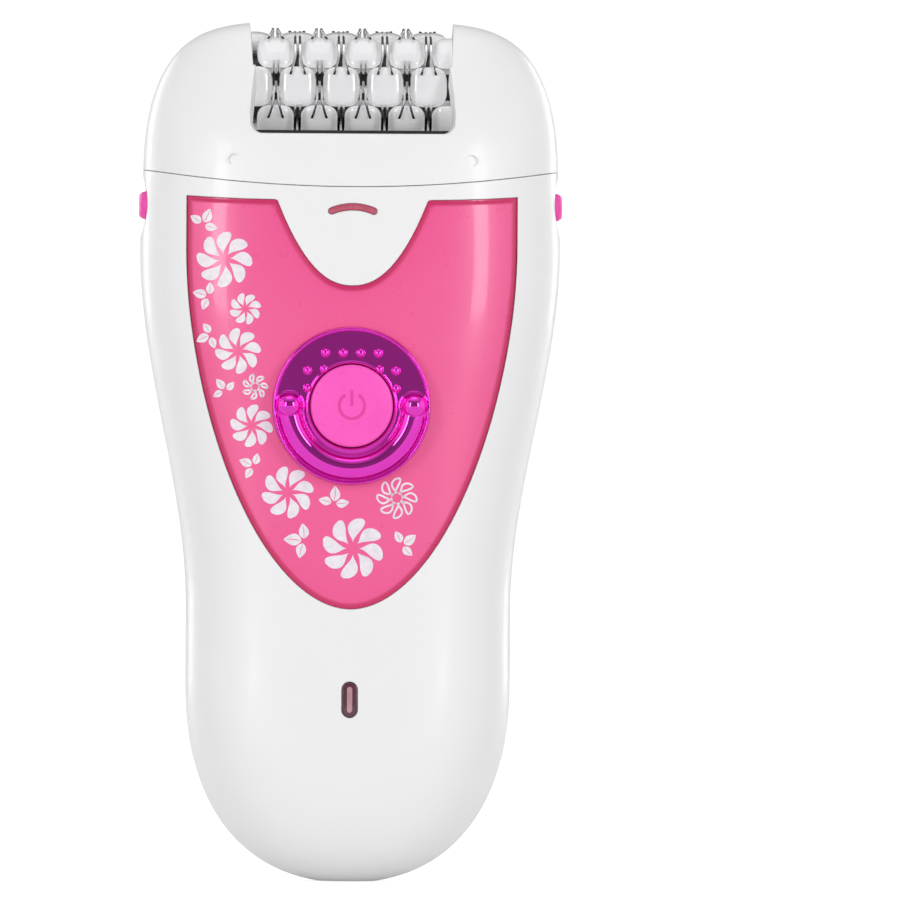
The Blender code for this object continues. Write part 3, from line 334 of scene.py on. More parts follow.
def pillow(outline, face, back, rounding, axis="y"):
    """A solid with the given outline and a rounded edge at its face."""
    ca = sum(p[0] for p in outline) / len(outline)
    cb = sum(p[1] for p in outline) / len(outline)
    rings = [[along(axis, a, b, back) for a, b in outline]]
    out = 1 if face > back else -1
    for t in steps_between(0.0, pi / 2, 5):
        pull = rounding * (1 - cos(t))
        height = face - out * rounding * (1 - sin(t))
        ring = []
        for a, b in outline:
            k = 1 - pull / max(hypot(a - ca, b - cb), 1e-6)
            ring.append(along(axis, ca + (a - ca) * k, cb + (b - cb) * k, height))
        rings.append(ring)
    return loft(rings, along(axis, ca, cb, back), along(axis, ca, cb, face))


def square_to(behind, ahead):
    """Unit vector at right angles to the run from one flat point to another."""
    da, db = ahead[0] - behind[0], ahead[1] - behind[1]
    run = hypot(da, db) or 1.0
    return -db / run, da / run


def new_object(name, data):
    made = bpy.data.objects.new(name, data)
    bpy.context.scene.collection.objects.link(made)
    return made


def to_mesh(shape, name="temporary"):
    """Mesh of a shape, with doubled points merged and every face turned outwards."""
    mesh = bpy.data.meshes.new(name)
    mesh.from_pydata(shape.verts, [], shape.faces)
    bm = bmesh.new()
    bm.from_mesh(mesh)
    bmesh.ops.remove_doubles(bm, verts=bm.verts, dist=1e-4)
    bmesh.ops.recalc_face_normals(bm, faces=bm.faces)
    bm.to_mesh(mesh)
    bm.free()
    return mesh


def boolean(shape, tools, operation="DIFFERENCE"):
    """The exact Boolean of a shape with each tool in turn."""
    target = new_object("target", to_mesh(shape))
    cutters = [new_object("cutter", to_mesh(tool)) for tool in tools]
    for cutter in cutters:
        modifier = target.modifiers.new("boolean", "BOOLEAN")
        modifier.operation = operation
        modifier.solver = "EXACT"
        modifier.object = cutter
    graph = bpy.context.evaluated_depsgraph_get()
    mesh = bpy.data.meshes.new_from_object(target.evaluated_get(graph))
    result = Shape([v.co for v in mesh.vertices], [p.vertices for p in mesh.polygons])
    for obj in (target, *cutters):
        old = obj.data
        bpy.data.objects.remove(obj)
        bpy.data.meshes.remove(old)
    bpy.data.meshes.remove(mesh)
    return result


def add_piece(name, shape, finish, body, node="", sharp=35, slot="", rules=None):
    """One finished piece in metres, riding on a CAD body and standing for the CAD node named.

    The slot argument is not used. Rules give point attributes that the finish reads.
    """
    mesh = to_mesh(shape, name)
    mesh.transform(Matrix.Scale(MM, 4))
    mesh.materials.append(FINISHES[finish])
    mesh.shade_smooth()
    mesh.set_sharp_from_angle(angle=radians(sharp))
    for label, rule in (rules or {}).items():
        layer = mesh.attributes.new(label, "FLOAT", "POINT")
        points = np.array([v.co for v in mesh.vertices]) / MM
        layer.data.foreach_set("value", np.asarray(rule(points), np.float32))
    obj = new_object(name, mesh)
    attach(obj, body)
    if node:
        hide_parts(node)


# ---- materials

FINISHES = {}


class Graph:
    """Short calls for the shader nodes this script uses."""

    def __init__(self, tree, coordinate="Object"):
        self.tree = tree
        self.tree.nodes.clear()
        self.where = self.node("TexCoord").outputs[coordinate]

    def put(self, socket, value):
        """Links another node's output to an input, or sets the input to a plain value."""
        if isinstance(value, bpy.types.NodeSocket):
            self.tree.links.new(value, socket)
        else:
            socket.default_value = (*value, 1) if socket.type == "RGBA" else value

    def node(self, kind, inputs=None, **settings):
        """Adds a shader node, makes its settings and fills the inputs named or numbered."""
        made = self.tree.nodes.new("ShaderNode" + kind)
        for key, value in settings.items():
            setattr(made, key, value)
        for key, value in (inputs or {}).items():
            self.put(made.inputs[key], value)
        return made

    def stretched(self, scale):
        return self.node("Mapping", {"Vector": self.where, "Scale": scale}).outputs[0]

    def noise(self, scale, detail=2.0, vector=None, roughness=0.5):
        inputs = {"Vector": vector or self.where, "Scale": scale, "Detail": detail, "Roughness": roughness}
        return self.node("TexNoise", inputs).outputs["Fac"]

    def spread(self, value, low, high, start=0.3, end=0.7):
        """Maps start..end of a value to low..high."""
        inputs = {"Value": value, "From Min": start, "From Max": end, "To Min": low, "To Max": high}
        return self.node("MapRange", inputs).outputs["Result"]

    def mix(self, factor, one, two):
        inputs = {"Factor": factor, "A": one, "B": two}
        return self.node("Mix", inputs, data_type="RGBA").outputs["Result"]

    def math(self, operation, one, two):
        return self.node("Math", {0: one, 1: two}, operation=operation).outputs[0]

    def attribute(self, name):
        return self.node("Attribute", attribute_name=name).outputs["Fac"]

    def bump(self, height, strength, distance, normal=None):
        inputs = {"Height": height, "Strength": strength, "Distance": distance}
        if normal:
            inputs["Normal"] = normal
        return self.node("Bump", inputs).outputs["Normal"]

    def rounded(self, radius):
        return self.node("Bevel", {"Radius": radius}, samples=4).outputs["Normal"]

    def uneven(self, scale, detail, low, high):
        """A value that wanders between low and high."""
        return self.spread(self.noise(scale, detail), low, high)

    def mottle(self, scale, detail, one, two):
        """A cloudy blend of two colours."""
        return self.mix(self.uneven(scale, detail, 0.0, 1.0), one, two)

    def grain(self, scale, strength, edge, height=0.00002):
        """Fine bumps, on a surface whose edges catch the light as if rounded."""
        return self.bump(self.noise(scale), strength, height, self.rounded(edge))


class Finish(Graph):
    """A material with one Principled surface, kept in FINISHES under its name."""

    def __init__(self, name):
        material = bpy.data.materials.new(name)
        material.use_nodes = True
        super().__init__(material.node_tree)
        self.bsdf = self.node("BsdfPrincipled")
        self.node("OutputMaterial", {"Surface": self.bsdf.outputs[0]})
        FINISHES[name] = material

    def finish(self, **inputs):
        for key, value in inputs.items():
            self.put(self.bsdf.inputs[key.replace("_", " ")], value)


def moulded(name, colour, shade, roughness, coat=0.0, grain=0.25, edge=0.00022):
    """Moulded plastic: faint cloudiness, uneven gloss, a fine orange-peel grain and rubbed spots."""
    g = Finish(name)
    tint = g.mottle(130, 3.0, shade, colour)
    wear = g.spread(g.noise(900, 4.0, roughness=0.7), 0.0, 1.0, 0.62, 0.75)
    rough = g.uneven(260, 4.0, roughness - 0.05, roughness + 0.07)
    rough = g.math("ADD", rough, g.math("MULTIPLY", wear, 0.10))
    normal = g.grain(2600, grain, edge)
    g.finish(Base_Color=tint, Roughness=rough, Coat_Weight=coat, Coat_Roughness=0.06, Normal=normal)


def white_with_painted_fill(name, colour, shade):
    """Glossy white of the barrels, with painted fill light: an emission that glows more where its
    neighbours shade it, so it is never quite dark there.
    """
    g = Finish(name)
    tint = g.mottle(130, 3.0, shade, colour)
    rough = g.uneven(260, 4.0, 0.09, 0.22)
    normal = g.grain(2600, 0.08, 0.00022)
    open_share = g.node("AmbientOcclusion", {"Distance": 0.012}, samples=8).outputs["AO"]
    # painted fill light: the emission rises where ambient occlusion finds the barrel shaded by its
    # neighbours
    glow = g.spread(open_share, 0.26, 0.02, 0.15, 0.95)
    g.finish(Base_Color=tint, Roughness=rough, Coat_Weight=0.7, Coat_Roughness=0.06, Normal=normal)
    g.finish(Emission_Color=(1.0, 1.0, 1.0), Emission_Strength=glow)


def panel_pink():
    """Pink panel under a clear coat: painted shade darkens it towards its edge and more on its bevelled
    rim; faint pearl in its middle.
    """
    g = Finish("pink_panel")
    middle = g.mottle(60, 2.0, (0.890, 0.098, 0.302), (0.900, 0.108, 0.316))
    # painted shade: the colour darkens towards the panel's edge, and darker still on its bevelled rim
    shaded = g.mix(g.attribute("deep"), middle, (0.86, 0.085, 0.280))
    tint = g.mix(g.attribute("rim"), shaded, (0.62, 0.022, 0.130))
    flecks = g.node("TexVoronoi", {"Vector": g.where, "Scale": 5200})
    sparkle = g.spread(flecks.outputs["Distance"], 0.05, 0.0, 0.0, 0.3)
    tint = g.mix(sparkle, tint, (1.0, 0.55, 0.7))
    rough = g.uneven(300, 4.0, 0.27, 0.31)
    haze = g.spread(g.noise(700, 5.0, roughness=0.7), 0.06, 0.08)
    normal = g.grain(1500, 0.05, 0.0002)
    g.finish(Base_Color=tint, Roughness=rough, Coat_Weight=0.35, Coat_Roughness=haze, Normal=normal)


def plated(name, colour, shade, roughness):
    """Vacuum-plated plastic: mirror-bright, with faint waviness, haze and handling marks."""
    g = Finish(name)
    rough = g.spread(g.noise(500, 4.0, roughness=0.65), roughness, roughness + 0.05)
    tint = g.mottle(90, 2.0, shade, colour)
    normal = g.grain(240, 0.08, 0.00008)
    g.finish(Base_Color=tint, Metallic=1.0, Roughness=rough, Normal=normal, Coat_Weight=0.22)


def metal(name, dull, bright, low, high, brushing=(900, 9000, 9000), shaded_tips=False):
    """Rolled or turned metal with duller streaks, and with fine lines along one direction.

    Where asked, the ends of the tweezers' sprung feet get painted shade, darkened all but to black.
    """
    g = Finish(name)
    lines = g.noise(1.0, 3.0, g.stretched(brushing), 0.6)
    tint = g.mottle(400, 4.0, dull, bright)
    if shaded_tips:
        # painted shade: the ends of the sprung feet are darkened all but to black
        tint = g.mix(g.attribute("tip"), tint, (0.05, 0.045, 0.045))
    normal = g.bump(lines, 0.18, 0.00001, g.rounded(0.00006))
    g.finish(Base_Color=tint, Metallic=1.0, Roughness=g.spread(lines, low, high), Normal=normal)


def clear_lens(name, colour, glow, roughness):
    """Smoked or clear plastic with a faint swirl."""
    g = Finish(name)
    tint = g.mottle(800, 3.0, colour, glow)
    rough = g.uneven(1200, 3.0, roughness, roughness + 0.08)
    normal = g.grain(1800, 0.1, 0.00015)
    g.finish(Base_Color=tint, Roughness=rough, Coat_Weight=0.8, Coat_Roughness=0.04, Normal=normal)


def textured_button(name, colour, shade):
    """Satin pink plastic with a spark-eroded texture."""
    g = Finish(name)
    tint = g.mottle(150, 2.0, colour, shade)
    normal = g.grain(5200, 0.28, 0.0002, height=0.00003)
    g.finish(Base_Color=tint, Roughness=g.uneven(900, 3.0, 0.36, 0.5), Normal=normal)


def print_ink():
    """White screen-printed ink with a lilac-grey mottle."""
    g = Finish("flower_ink")
    tint = g.mottle(1100, 4.0, (0.90, 0.85, 0.90), (0.78, 0.71, 0.78))
    normal = g.bump(g.noise(4000), 0.1, 0.00001)
    g.finish(Base_Color=tint, Roughness=g.uneven(2500, 3.0, 0.32, 0.5), Normal=normal)


def circuit_green():
    """Solder mask over copper tracks, which show as slightly raised, lighter lines."""
    g = Finish("board_green")
    cells = g.node("TexBrick", {"Vector": g.where, "Scale": 320, "Mortar Size": 0.03})
    track = g.math("SUBTRACT", 1.0, cells.outputs["Fac"])
    tint = g.mix(track, (0.06, 0.30, 0.12), (0.02, 0.16, 0.06))
    normal = g.bump(track, 0.2, 0.00003)
    g.finish(Base_Color=tint, Roughness=g.uneven(700, 3.0, 0.3, 0.5), Normal=normal)


def window_rose():
    """Rose window of the skin light, with painted shade darkening it where it meets the shell."""
    g = Finish("pink_window")
    middle = g.mottle(800, 3.0, (0.44, 0.075, 0.120), (0.52, 0.105, 0.160))
    # painted shade along the window's long edges
    tint = g.mix(g.attribute("rim"), middle, (0.52, 0.035, 0.110))
    rough = g.uneven(1200, 3.0, 0.2, 0.32)
    g.finish(Base_Color=tint, Roughness=rough, Coat_Weight=0.4, Normal=g.rounded(0.0001))


def make_finishes():
    moulded("white_gloss", (0.872, 0.872, 0.874), (0.866, 0.866, 0.868), 0.36, coat=0.12, grain=0.12)
    moulded("white_inner", (0.80, 0.80, 0.80), (0.77, 0.77, 0.78), 0.46, grain=0.5)
    moulded("gear_nylon", (0.84, 0.82, 0.74), (0.78, 0.76, 0.68), 0.45, grain=0.5, edge=0.0001)
    moulded("black_plastic", (0.035, 0.035, 0.037), (0.022, 0.022, 0.024), 0.42, grain=0.6)
    moulded("battery_wrap", (0.07, 0.28, 0.55), (0.05, 0.23, 0.47), 0.3, coat=0.4)
    moulded("wire_red", (0.66, 0.03, 0.03), (0.55, 0.02, 0.02), 0.42)
    moulded("button_sign", (0.84, 0.055, 0.40), (0.78, 0.045, 0.36), 0.42)
    white_with_painted_fill("pearl", (0.80, 0.80, 0.81), (0.77, 0.77, 0.785))
    panel_pink()
    plated("magenta_chrome", (0.97, 0.062, 0.70), (0.93, 0.055, 0.67), 0.03)
    textured_button("pink_button", (0.97, 0.090, 0.530), (1.0, 0.105, 0.565))
    textured_button("side_pink", (0.90, 0.050, 0.40), (0.95, 0.075, 0.45))
    window_rose()
    clear_lens("smoked_lens", (0.085, 0.020, 0.034), (0.11, 0.028, 0.045), 0.1)
    clear_lens("lens_core", (0.42, 0.22, 0.25), (0.52, 0.29, 0.33), 0.2)
    clear_lens("led_clear", (0.86, 0.88, 0.90), (0.92, 0.94, 0.96), 0.08)
    print_ink()
    metal("steel", (0.576, 0.576, 0.5832), (0.80, 0.80, 0.81), 0.11, 0.28)
    metal("brass", (0.576, 0.432, 0.1872), (0.80, 0.60, 0.26), 0.19, 0.36, brushing=(9000, 900, 900))
    metal("jaw_steel", (0.60, 0.60, 0.61), (0.86, 0.86, 0.87), 0.14, 0.3, shaded_tips=True)
    circuit_green()


# ---- body shells


def section(t, width, depth):
    """Points of the rounded cross-section at the angles t."""
    c, s = np.cos(t), np.sin(t)
    power = 2 / SECTION_POWER
    return np.sign(c) * np.abs(c) ** power * width, np.sign(s) * np.abs(s) ** power * depth


def half_ring(z, rear, wall=0.0, segments=56, opening=0.0, shift=0.0):
    """Half of the cross-section at height z; point 0 is the middle of the split plane."""
    side = 1 if rear else -1
    base = max(0.0, z - shift)
    width = half_width(base) - wall
    x, y = section(np.linspace(0, side * pi, segments + 1), width, half_depth(base, rear) - wall)
    y = side * np.maximum(np.abs(y), SEAM_GAP / 2)
    split = side * SEAM_GAP / 2
    if opening:
        split = -side * opening
        x = np.concatenate(([width], x, [-width]))
        y = np.concatenate(([split], y, [split]))
    return np.concatenate(([0.0], x)), np.concatenate(([split], y))


def half_shell(rear):
    """Hollow half of the body below the seam."""
    dome = WIDTH_DOME_HEIGHT * np.linspace(0, 1, 40) ** 2
    grip = np.linspace(WIDTH_DOME_HEIGHT, SEAM_Z - SEAM_GAP / 2, 58)[1:]
    rings = []
    for level in np.concatenate((dome, grip)):
        x, y = half_ring(level, rear)
        z = follow_seam(x, level)
        grow_x = half_width(z) / half_width(level)
        grow_y = np.where(np.abs(y) > SEAM_GAP, half_depth(z, rear) / half_depth(level, rear), 1.0)
        x, y = x * grow_x, y * grow_y
        if not rear:
            y = np.where(np.abs(y) > 8, y - hood(x, z), y)
        rings.append(np.stack((x, y, z), axis=1))
    cavity = []
    for z in (FLOOR_WALL, 4.5, 7, 11, 17, 24, 34, 48, 60, 72, 84, 95, 116):
        x, y = half_ring(min(z, SEAM_Z), rear, SHELL_WALL, 28, 3.0, FLOOR_WALL)
        cavity.append(np.stack((x, y, np.full_like(x, z)), axis=1))
    return boolean(loft(rings), [loft(cavity)])


def panel_grid(inset, grow=0.0, bevel=0.0, columns=96, rows=110):
    """Grid of points over the panel's outline, on the body's front moved inwards by inset."""
    share = np.sin(np.linspace(-pi / 2, pi / 2, columns + 1))
    step = NOTCH_HALF_WIDTH / PANEL_HALF_WIDTH
    nearest = np.abs(np.abs(share) - step)
    for side in (share < 0, share > 0):
        index = np.where(side)[0][np.argmin(nearest[side])]
        share[index] = copysign(step - grow / PANEL_HALF_WIDTH, share[index])
    low = panel_bottom_z(share * PANEL_HALF_WIDTH) - grow
    high = panel_top_z(share * PANEL_HALF_WIDTH) + grow
    x = share * (PANEL_HALF_WIDTH + grow)
    grid = []
    for t in np.linspace(0, 1, rows + 1):
        z = follow_seam(x, low + (high - low) * (0.5 - 0.5 * cos(pi * t)))
        grid.append(np.stack((x, np.zeros_like(x), z), axis=1))
    grid = np.array(grid)
    drop = np.full(grid.shape[:2], float(inset))
    if bevel:
        drop = drop + 0.3 * (1 - smoothstep(edge_distance(grid) / bevel))
    grid[..., 1] = front_y(grid[..., 0], grid[..., 2], drop)
    return grid


def panel_outline():
    """Points round the panel's edge, in x and z."""
    across = np.sin(np.linspace(-pi / 2, pi / 2, 400)) * PANEL_HALF_WIDTH
    low = np.stack((across, panel_bottom_z(across)), axis=1)
    high = np.stack((across, follow_seam(across, panel_top_z(across))), axis=1)
    end = np.linspace(PANEL_WIDEST_Z, follow_seam(PANEL_HALF_WIDTH, SEAM_Z - PANEL_BELOW_SEAM), 30)
    ends = [np.stack((np.full(30, s * PANEL_HALF_WIDTH), end), axis=1) for s in (-1, 1)]
    return np.concatenate((low, high, *ends))


OUTLINE = panel_outline()


def edge_distance(points):
    """Distance from each point to the panel's edge, seen from the front."""
    flat = points[..., [0, 2]].reshape(-1, 2)
    best = np.full(len(flat), 1e9)
    for start in range(0, len(OUTLINE), 100):
        part = OUTLINE[start : start + 100]
        gap = np.linalg.norm(flat[:, None, :] - part[None, :, :], axis=2).min(axis=1)
        best = np.minimum(best, gap)
    return best.reshape(points.shape[:-1])


def lamp_point(turn, off=0.0):
    """Point of the skin light's arc, off outwards from its middle line, in x and z."""
    radius = LAMP_ARC_RADIUS + off
    return radius * sin(turn), LAMP_Z - LAMP_ARC_RADIUS + radius * cos(turn)


def lamp_arc(grow=0.0):
    """Crescent outline of the skin light, with rounded ends."""
    thick = LAMP_THICK + grow
    sweep = steps_between(-LAMP_HALF_TURN, LAMP_HALF_TURN, 24)
    upper = [lamp_point(t, thick) for t in sweep]
    lower = [lamp_point(-t, -thick) for t in sweep]
    right = []
    for a in steps_between(0.0, pi, 8)[1:-1]:
        x, z = lamp_point(LAMP_HALF_TURN, thick * cos(a))
        past = thick * sin(a)
        right.append((x + past * cos(LAMP_HALF_TURN), z - past * sin(LAMP_HALF_TURN)))
    left = [(-x, z) for x, z in reversed(right)]
    return upper + right + lower + left


def upright_slot(half_height, half_width_x):
    """Outline of the indicator light, standing on end."""
    return [(x, z + LENS_Z) for z, x in stadium(half_height, half_width_x)]


def scoop(side):
    """Shallow thumb scoop round a side button."""
    arc = arc_points(SCOOP_RADIUS, 0.75 * pi, 1.25 * pi, 40)
    return prism([(side * (SCOOP_X + a), SCOOP_Z + b) for a, b in arc], "y", -12.0, 12.0)


def release_slot(side):
    outline = stadium(RELEASE_HALF_LENGTH + 0.2, RELEASE_HALF_HEIGHT + 0.2)
    return prism([(y, z + RELEASE_Z) for y, z in outline], "x", *sorted((side * 25.0, side * 40.0)))


def side_cuts():
    """The thumb scoops and the slots of the side buttons, half in each half of the body."""
    return [cut(side) for side in (-1, 1) for cut in (scoop, release_slot)]


def charging_hole():
    return prism(circle(CHARGING_HOLE_RADIUS, segments=48), "z", -2, 5)


def front_body():
    """Front half with its screw posts, the panel's recess and every opening."""
    posts = []
    for x, z in SCREW_SPOTS:
        foot = float(front_y(x, z, SHELL_WALL)) - 0.7
        posts.append(prism(circle(2.6, (x, z), 32), "y", foot, -0.3))
    shell = boolean(half_shell(rear=False), posts, "UNION")
    openings = [
        slab(panel_grid(PANEL_RECESS, 0.05), panel_grid(-6.0, 0.05)),
        prism(circle(BUTTON_RADIUS + 0.25, (0, SWITCH_Z)), "y", -30, -10),
        prism(lamp_arc(0.07), "y", -30, -12),
        prism(upright_slot(2.85, 1.28), "y", -30, -8),
        charging_hole(),
    ]
    openings += [prism(circle(0.98, spot, 24), "y", -7, 1) for spot in SCREW_SPOTS]
    return boolean(shell, openings + side_cuts())


def rear_body():
    """Rear half with its screw posts, bored for the screws."""
    posts = []
    for x, z in SCREW_SPOTS:
        posts.append(prism(circle(3.2, (x, z), 32), "y", 0.3, rear_y(abs(x) + 3.2, z) - 0.4))
    shell = boolean(half_shell(rear=True), posts, "UNION")
    openings = [charging_hole()]
    for spot in SCREW_SPOTS:
        openings.append(prism(circle(2.1, spot, 40), "y", 5.2, 30))
        openings.append(prism(circle(1.15, spot, 24), "y", -1, 5.4))
    return boolean(shell, openings + side_cuts())


# ---- head cover


def full_ring(z, wall=0.0, segments=112, turn=0.0):
    """The whole cross-section at height z, its points turned on by a share of their spacing."""
    t = 2 * pi * (np.arange(segments) + turn) / segments
    depth = np.where(np.sin(t) > 0, half_depth(z, True), half_depth(z))
    return section(t, half_width(z) - wall, depth - wall)


def head_outside():
    """Solid head above the curved seam."""
    rise = np.sin(np.linspace(0, pi / 2, 44)) ** 0.9
    rings = []
    for level in SEAM_Z + SEAM_GAP / 2 + (HEAD_BASE_Z + HEAD_RISE * 0.9965 - SEAM_Z) * rise:
        x, y = full_ring(level)
        z = level + (seam_z(x) - SEAM_Z) * (1 - smoothstep((level - SEAM_Z) / 14))
        x = x * half_width(z) / half_width(level)
        y = y * half_depth(z) / half_depth(level)
        rings.append(np.stack((x, y, z), axis=1))
    top = float(rings[-1][0][2])
    return loft(rings, (0, 0, SEAM_Z + SEAM_GAP / 2), (0, 0, top))


def head_hollow():
    """The space inside the head cover, with a solid cheek left at each end of the drum."""
    rings = []
    for z in (100.0, 112, 115, 118, 121, 124, 127, 129.5, 131.2, 132.4):
        source = HEAD_BASE_Z if z == 100.0 else z + 0.7 * HEAD_WALL
        x, y = full_ring(source, HEAD_WALL, 72, 0.5)
        rings.append(np.stack((x, y, np.full_like(x, z)), axis=1))
    cheeks = [box(sorted((side * 15.95, side * 17.3)), (-25, 25), (113.5, 140)) for side in (-1, 1)]
    return boolean(loft(rings), cheeks)


def head_shell():
    shell = boolean(head_outside(), [head_hollow(), window_cutter()])
    return boolean(shell, [prism(circle(6.9, (0, DRUM_Z), 96), "x", -17.75, 17.75)])


def window_cutter():
    """The drum's window, wider at its front and back faces, so that its side walls show."""
    stations = ((-24, 17.4, -0.6), (-14.0, 16.9, -0.2), (-9.9, 15.6, 0.2), (-9.85, 15.97, 0.0))
    stations += tuple((-y, w, d) for y, w, d in stations[::-1])
    corner = arc_points(WINDOW_CORNER, -pi / 2, 0.0, 8)
    rings = []
    for y, reach, lift in stations:
        cx, cz = reach - 0.9 - WINDOW_CORNER, WINDOW_BOTTOM_Z + lift + WINDOW_CORNER
        right = [(cx + a, cz + b) for a, b in corner] + [(reach, 134.0), (reach + 0.3, 141.0)]
        outline = [(-x, z) for x, z in right[::-1]] + right
        rings.append([(x, y, z) for x, z in outline])
    return loft(rings)


def head_mark(x):
    """Faint round witness mark on the head's front."""
    y = float(front_y(x, HEAD_MARK_Z))
    profile = [(0.78, y + 0.3), (0.78, y - 0.035), (0.95, y - 0.035), (0.95, y + 0.3)]
    return lathe(profile, "y", (x, HEAD_MARK_Z), 40, closed=True)


# ---- front panel and its print


def decor_panel():
    panel = slab(panel_grid(PANEL_THICKNESS), panel_grid(0.0, bevel=PANEL_BEVEL))
    return boolean(panel, [prism(circle(RING_RADIUS + 0.03, (0, SWITCH_Z), 160), "y", -40, 0)])


def rim_shade_amount(points):
    """Marks the panel's bevelled rim, where the finish paints shade."""
    return 1 - smoothstep((edge_distance(points) - 0.55) / 0.55)


def edge_shade_amount(points):
    """How much painted shade darkens the panel's colour towards its edge."""
    return np.exp(-edge_distance(points) / 2.0)


def petal_width(t):
    """Half width of a petal at t along it: a thin tail swelling to a round end."""
    if t < 0.66:
        return smoothstep(t / 0.66) ** 0.85
    return sqrt(max(0.0, 1 - ((t - 0.66) / 0.34) ** 2))


def leaf_width(t):
    """Half width of a leaf at t along it: pointed at both ends."""
    return sin(pi * t**0.8) ** 0.9


def strip(cx, cz, heading, inner, outer, width, bend, law, edges=(-1, 1), steps=18, across=4):
    """Grid of points over a petal or leaf that grows outwards from a centre and curves to one side."""
    grid = []
    for t in steps_between(0.0, 1.0, steps):
        radius = inner + (outer - inner) * t
        half = width * (law(t) if 0 < t < 1 else 0.0) + 0.012
        lean = heading + bend * t * t
        x, z = cx + radius * cos(lean), cz + radius * sin(lean)
        offsets = [half * w for w in steps_between(*edges, across)]
        grid.append([(x - sin(lean) * w, z + cos(lean) * w) for w in offsets])
    return grid


def printed(grid, proud=0.035):
    """Thin layer of ink over a grid of points on the panel."""
    sheets = []
    for lift in (-0.06, proud):
        sheets.append([[(x, float(front_y(x, z)) - lift, z) for x, z in line] for line in grid])
    return slab(*sheets)


def printed_outline(grid, line_width=0.3):
    """Only the border of a petal: a band of even width along its edge."""
    edge = [line[0] for line in grid] + [line[-1] for line in grid[::-1]]
    count = len(edge)
    band = []
    for i in [*range(count), 0]:
        x, z = edge[i]
        dx, dz = square_to(edge[i - 1], edge[(i + 1) % count])
        band.append([(x + dx * line_width, z + dz * line_width), (x, z)])
    return printed(band, 0.03)


# (x, z, radius, petals, first heading in degrees, drawn as outlines)
BLOSSOMS = (
    (-20.0, 97.4, 4.4, 8, 10, False),
    (-16.7, 89.7, 2.5, 8, 30, False),
    (-17.8, 83.1, 3.6, 8, 20, False),
    (-15.1, 77.5, 2.1, 7, 15, True),
    (-15.6, 71.4, 3.4, 8, 5, False),
    (-9.9, 61.0, 4.1, 8, 25, False),
    (7.2, 60.2, 3.3, 8, 12, True),
    (0.35, 52.3, 4.9, 8, 0, False),
)
# (x, z, length, middle heading in degrees) of each trio of leaves
LEAVES = (
    (-23.4, 102.9, 2.3, 60),
    (-22.4, 91.6, 2.2, 160),
    (-22.0, 85.6, 2.1, 200),
    (-19.8, 76.8, 1.9, 120),
    (-15.2, 65.0, 2.1, 150),
    (-2.7, 59.3, 2.4, 80),
    (-7.3, 53.4, 2.8, 170),
    (8.0, 52.9, 2.3, 30),
)


def blossoms(outlined):
    shape = Shape()
    width = 0.225 if outlined else 0.235
    for x, z, radius, petals, first, is_outline in BLOSSOMS:
        if is_outline != outlined:
            continue
        for turn in turns(petals):
            heading = radians(first) + turn
            grid = strip(x, z, heading, 0.2 * radius, radius, width * radius, -0.3, petal_width)
            shape.add(printed_outline(grid) if outlined else printed(grid))
    return shape


def leaf_trios():
    """Three pointed leaves on one spot, each split by a fine midrib."""
    shape = Shape()
    for x, z, length, heading in LEAVES:
        for turn, size in ((-80, 0.85), (0, 1.0), (80, 0.85)):
            lean = radians(heading + turn)
            reach = length * size
            for edges in ((-1, -0.07), (0.07, 1)):
                grid = strip(x, z, lean, 0.4, 0.4 + reach, 0.33 * reach, 0.1, leaf_width, edges)
                shape.add(printed(grid))
    return shape


# ---- switch


def field_y(radius):
    """Face of the ring's field: all but flat, it falls away a little towards the rim."""
    return RING_FACE_Y + 0.026 * (radius - RING_BORE)


def ring_base():
    """All but flat ring with a thin rolled lip at its rim and a low collar at its bore."""
    lip = ((0, -0.1), (0.08, -0.24), (0.22, -0.3), (0.36, -0.24), (0.46, -0.1))
    collar = ((7.04, -0.06), (6.94, -0.12), (6.82, -0.13), (6.72, -0.07), (RING_BORE, 0.1))
    profile = [(RING_BORE, RING_BACK_Y), (RING_RADIUS, RING_BACK_Y)]
    profile += [(RING_RADIUS - inward, RING_FACE_Y + y) for inward, y in lip]
    profile += [(radius, field_y(radius)) for radius in (RING_RADIUS - 0.5, RING_RADIUS - 0.56, 7.2, 7.12)]
    profile += [(radius, RING_FACE_Y + y) for radius, y in collar]
    return lathe(profile, "y", (0, SWITCH_Z), 160, closed=True)


def half_round(radius, half_thick, proud, y, around):
    """Round-backed bar along the lower half of the ring."""
    rings = []
    loop = [(radius + half_thick * cos(a), y - proud * sin(a)) for a in turns(around)]
    for t in steps_between(pi, 2 * pi, 72):
        rings.append([(reach * cos(t), out, SWITCH_Z + reach * sin(t)) for reach, out in loop])
    return loft(rings)


def smile():
    """The ridge along the lower half of the ring, with a fine raised line on each side of it."""
    shape = half_round(RIDGE_RADIUS, 1.72, 1.45, RING_FACE_Y + 0.15, 28)
    for radius in (7.72, 11.62):
        shape.add(half_round(radius, 0.13, 0.13, field_y(radius) - 0.05, 10))
    return shape


def ball(x):
    """Ball at one end of the ridge, in a low collar."""
    profile = bulge(BALL_RADIUS, BALL_RADIUS, RING_FACE_Y - 0.35, pi, 24)
    collar = [(1.7, 0.38), (2.42, 0.38), (2.42, -0.12), (2.3, -0.22), (2.1, -0.24), (1.9, -0.12)]
    collar = [(radius, RING_FACE_Y + y) for radius, y in (*collar, (1.7, 0.08))]
    shape = lathe(profile, "y", (x, SWITCH_Z), 48)
    return shape.add(lathe(collar, "y", (x, SWITCH_Z), 48, closed=True))


def dome(x, z, y, radius, height, segments=24):
    """Small raised dot, x and z counted from the switch's middle."""
    profile = bulge(radius, height, y, pi / 2, 8) + [(radius, y + 0.3), (0, y + 0.3)]
    return lathe(profile, "y", (x, SWITCH_Z + z), segments)


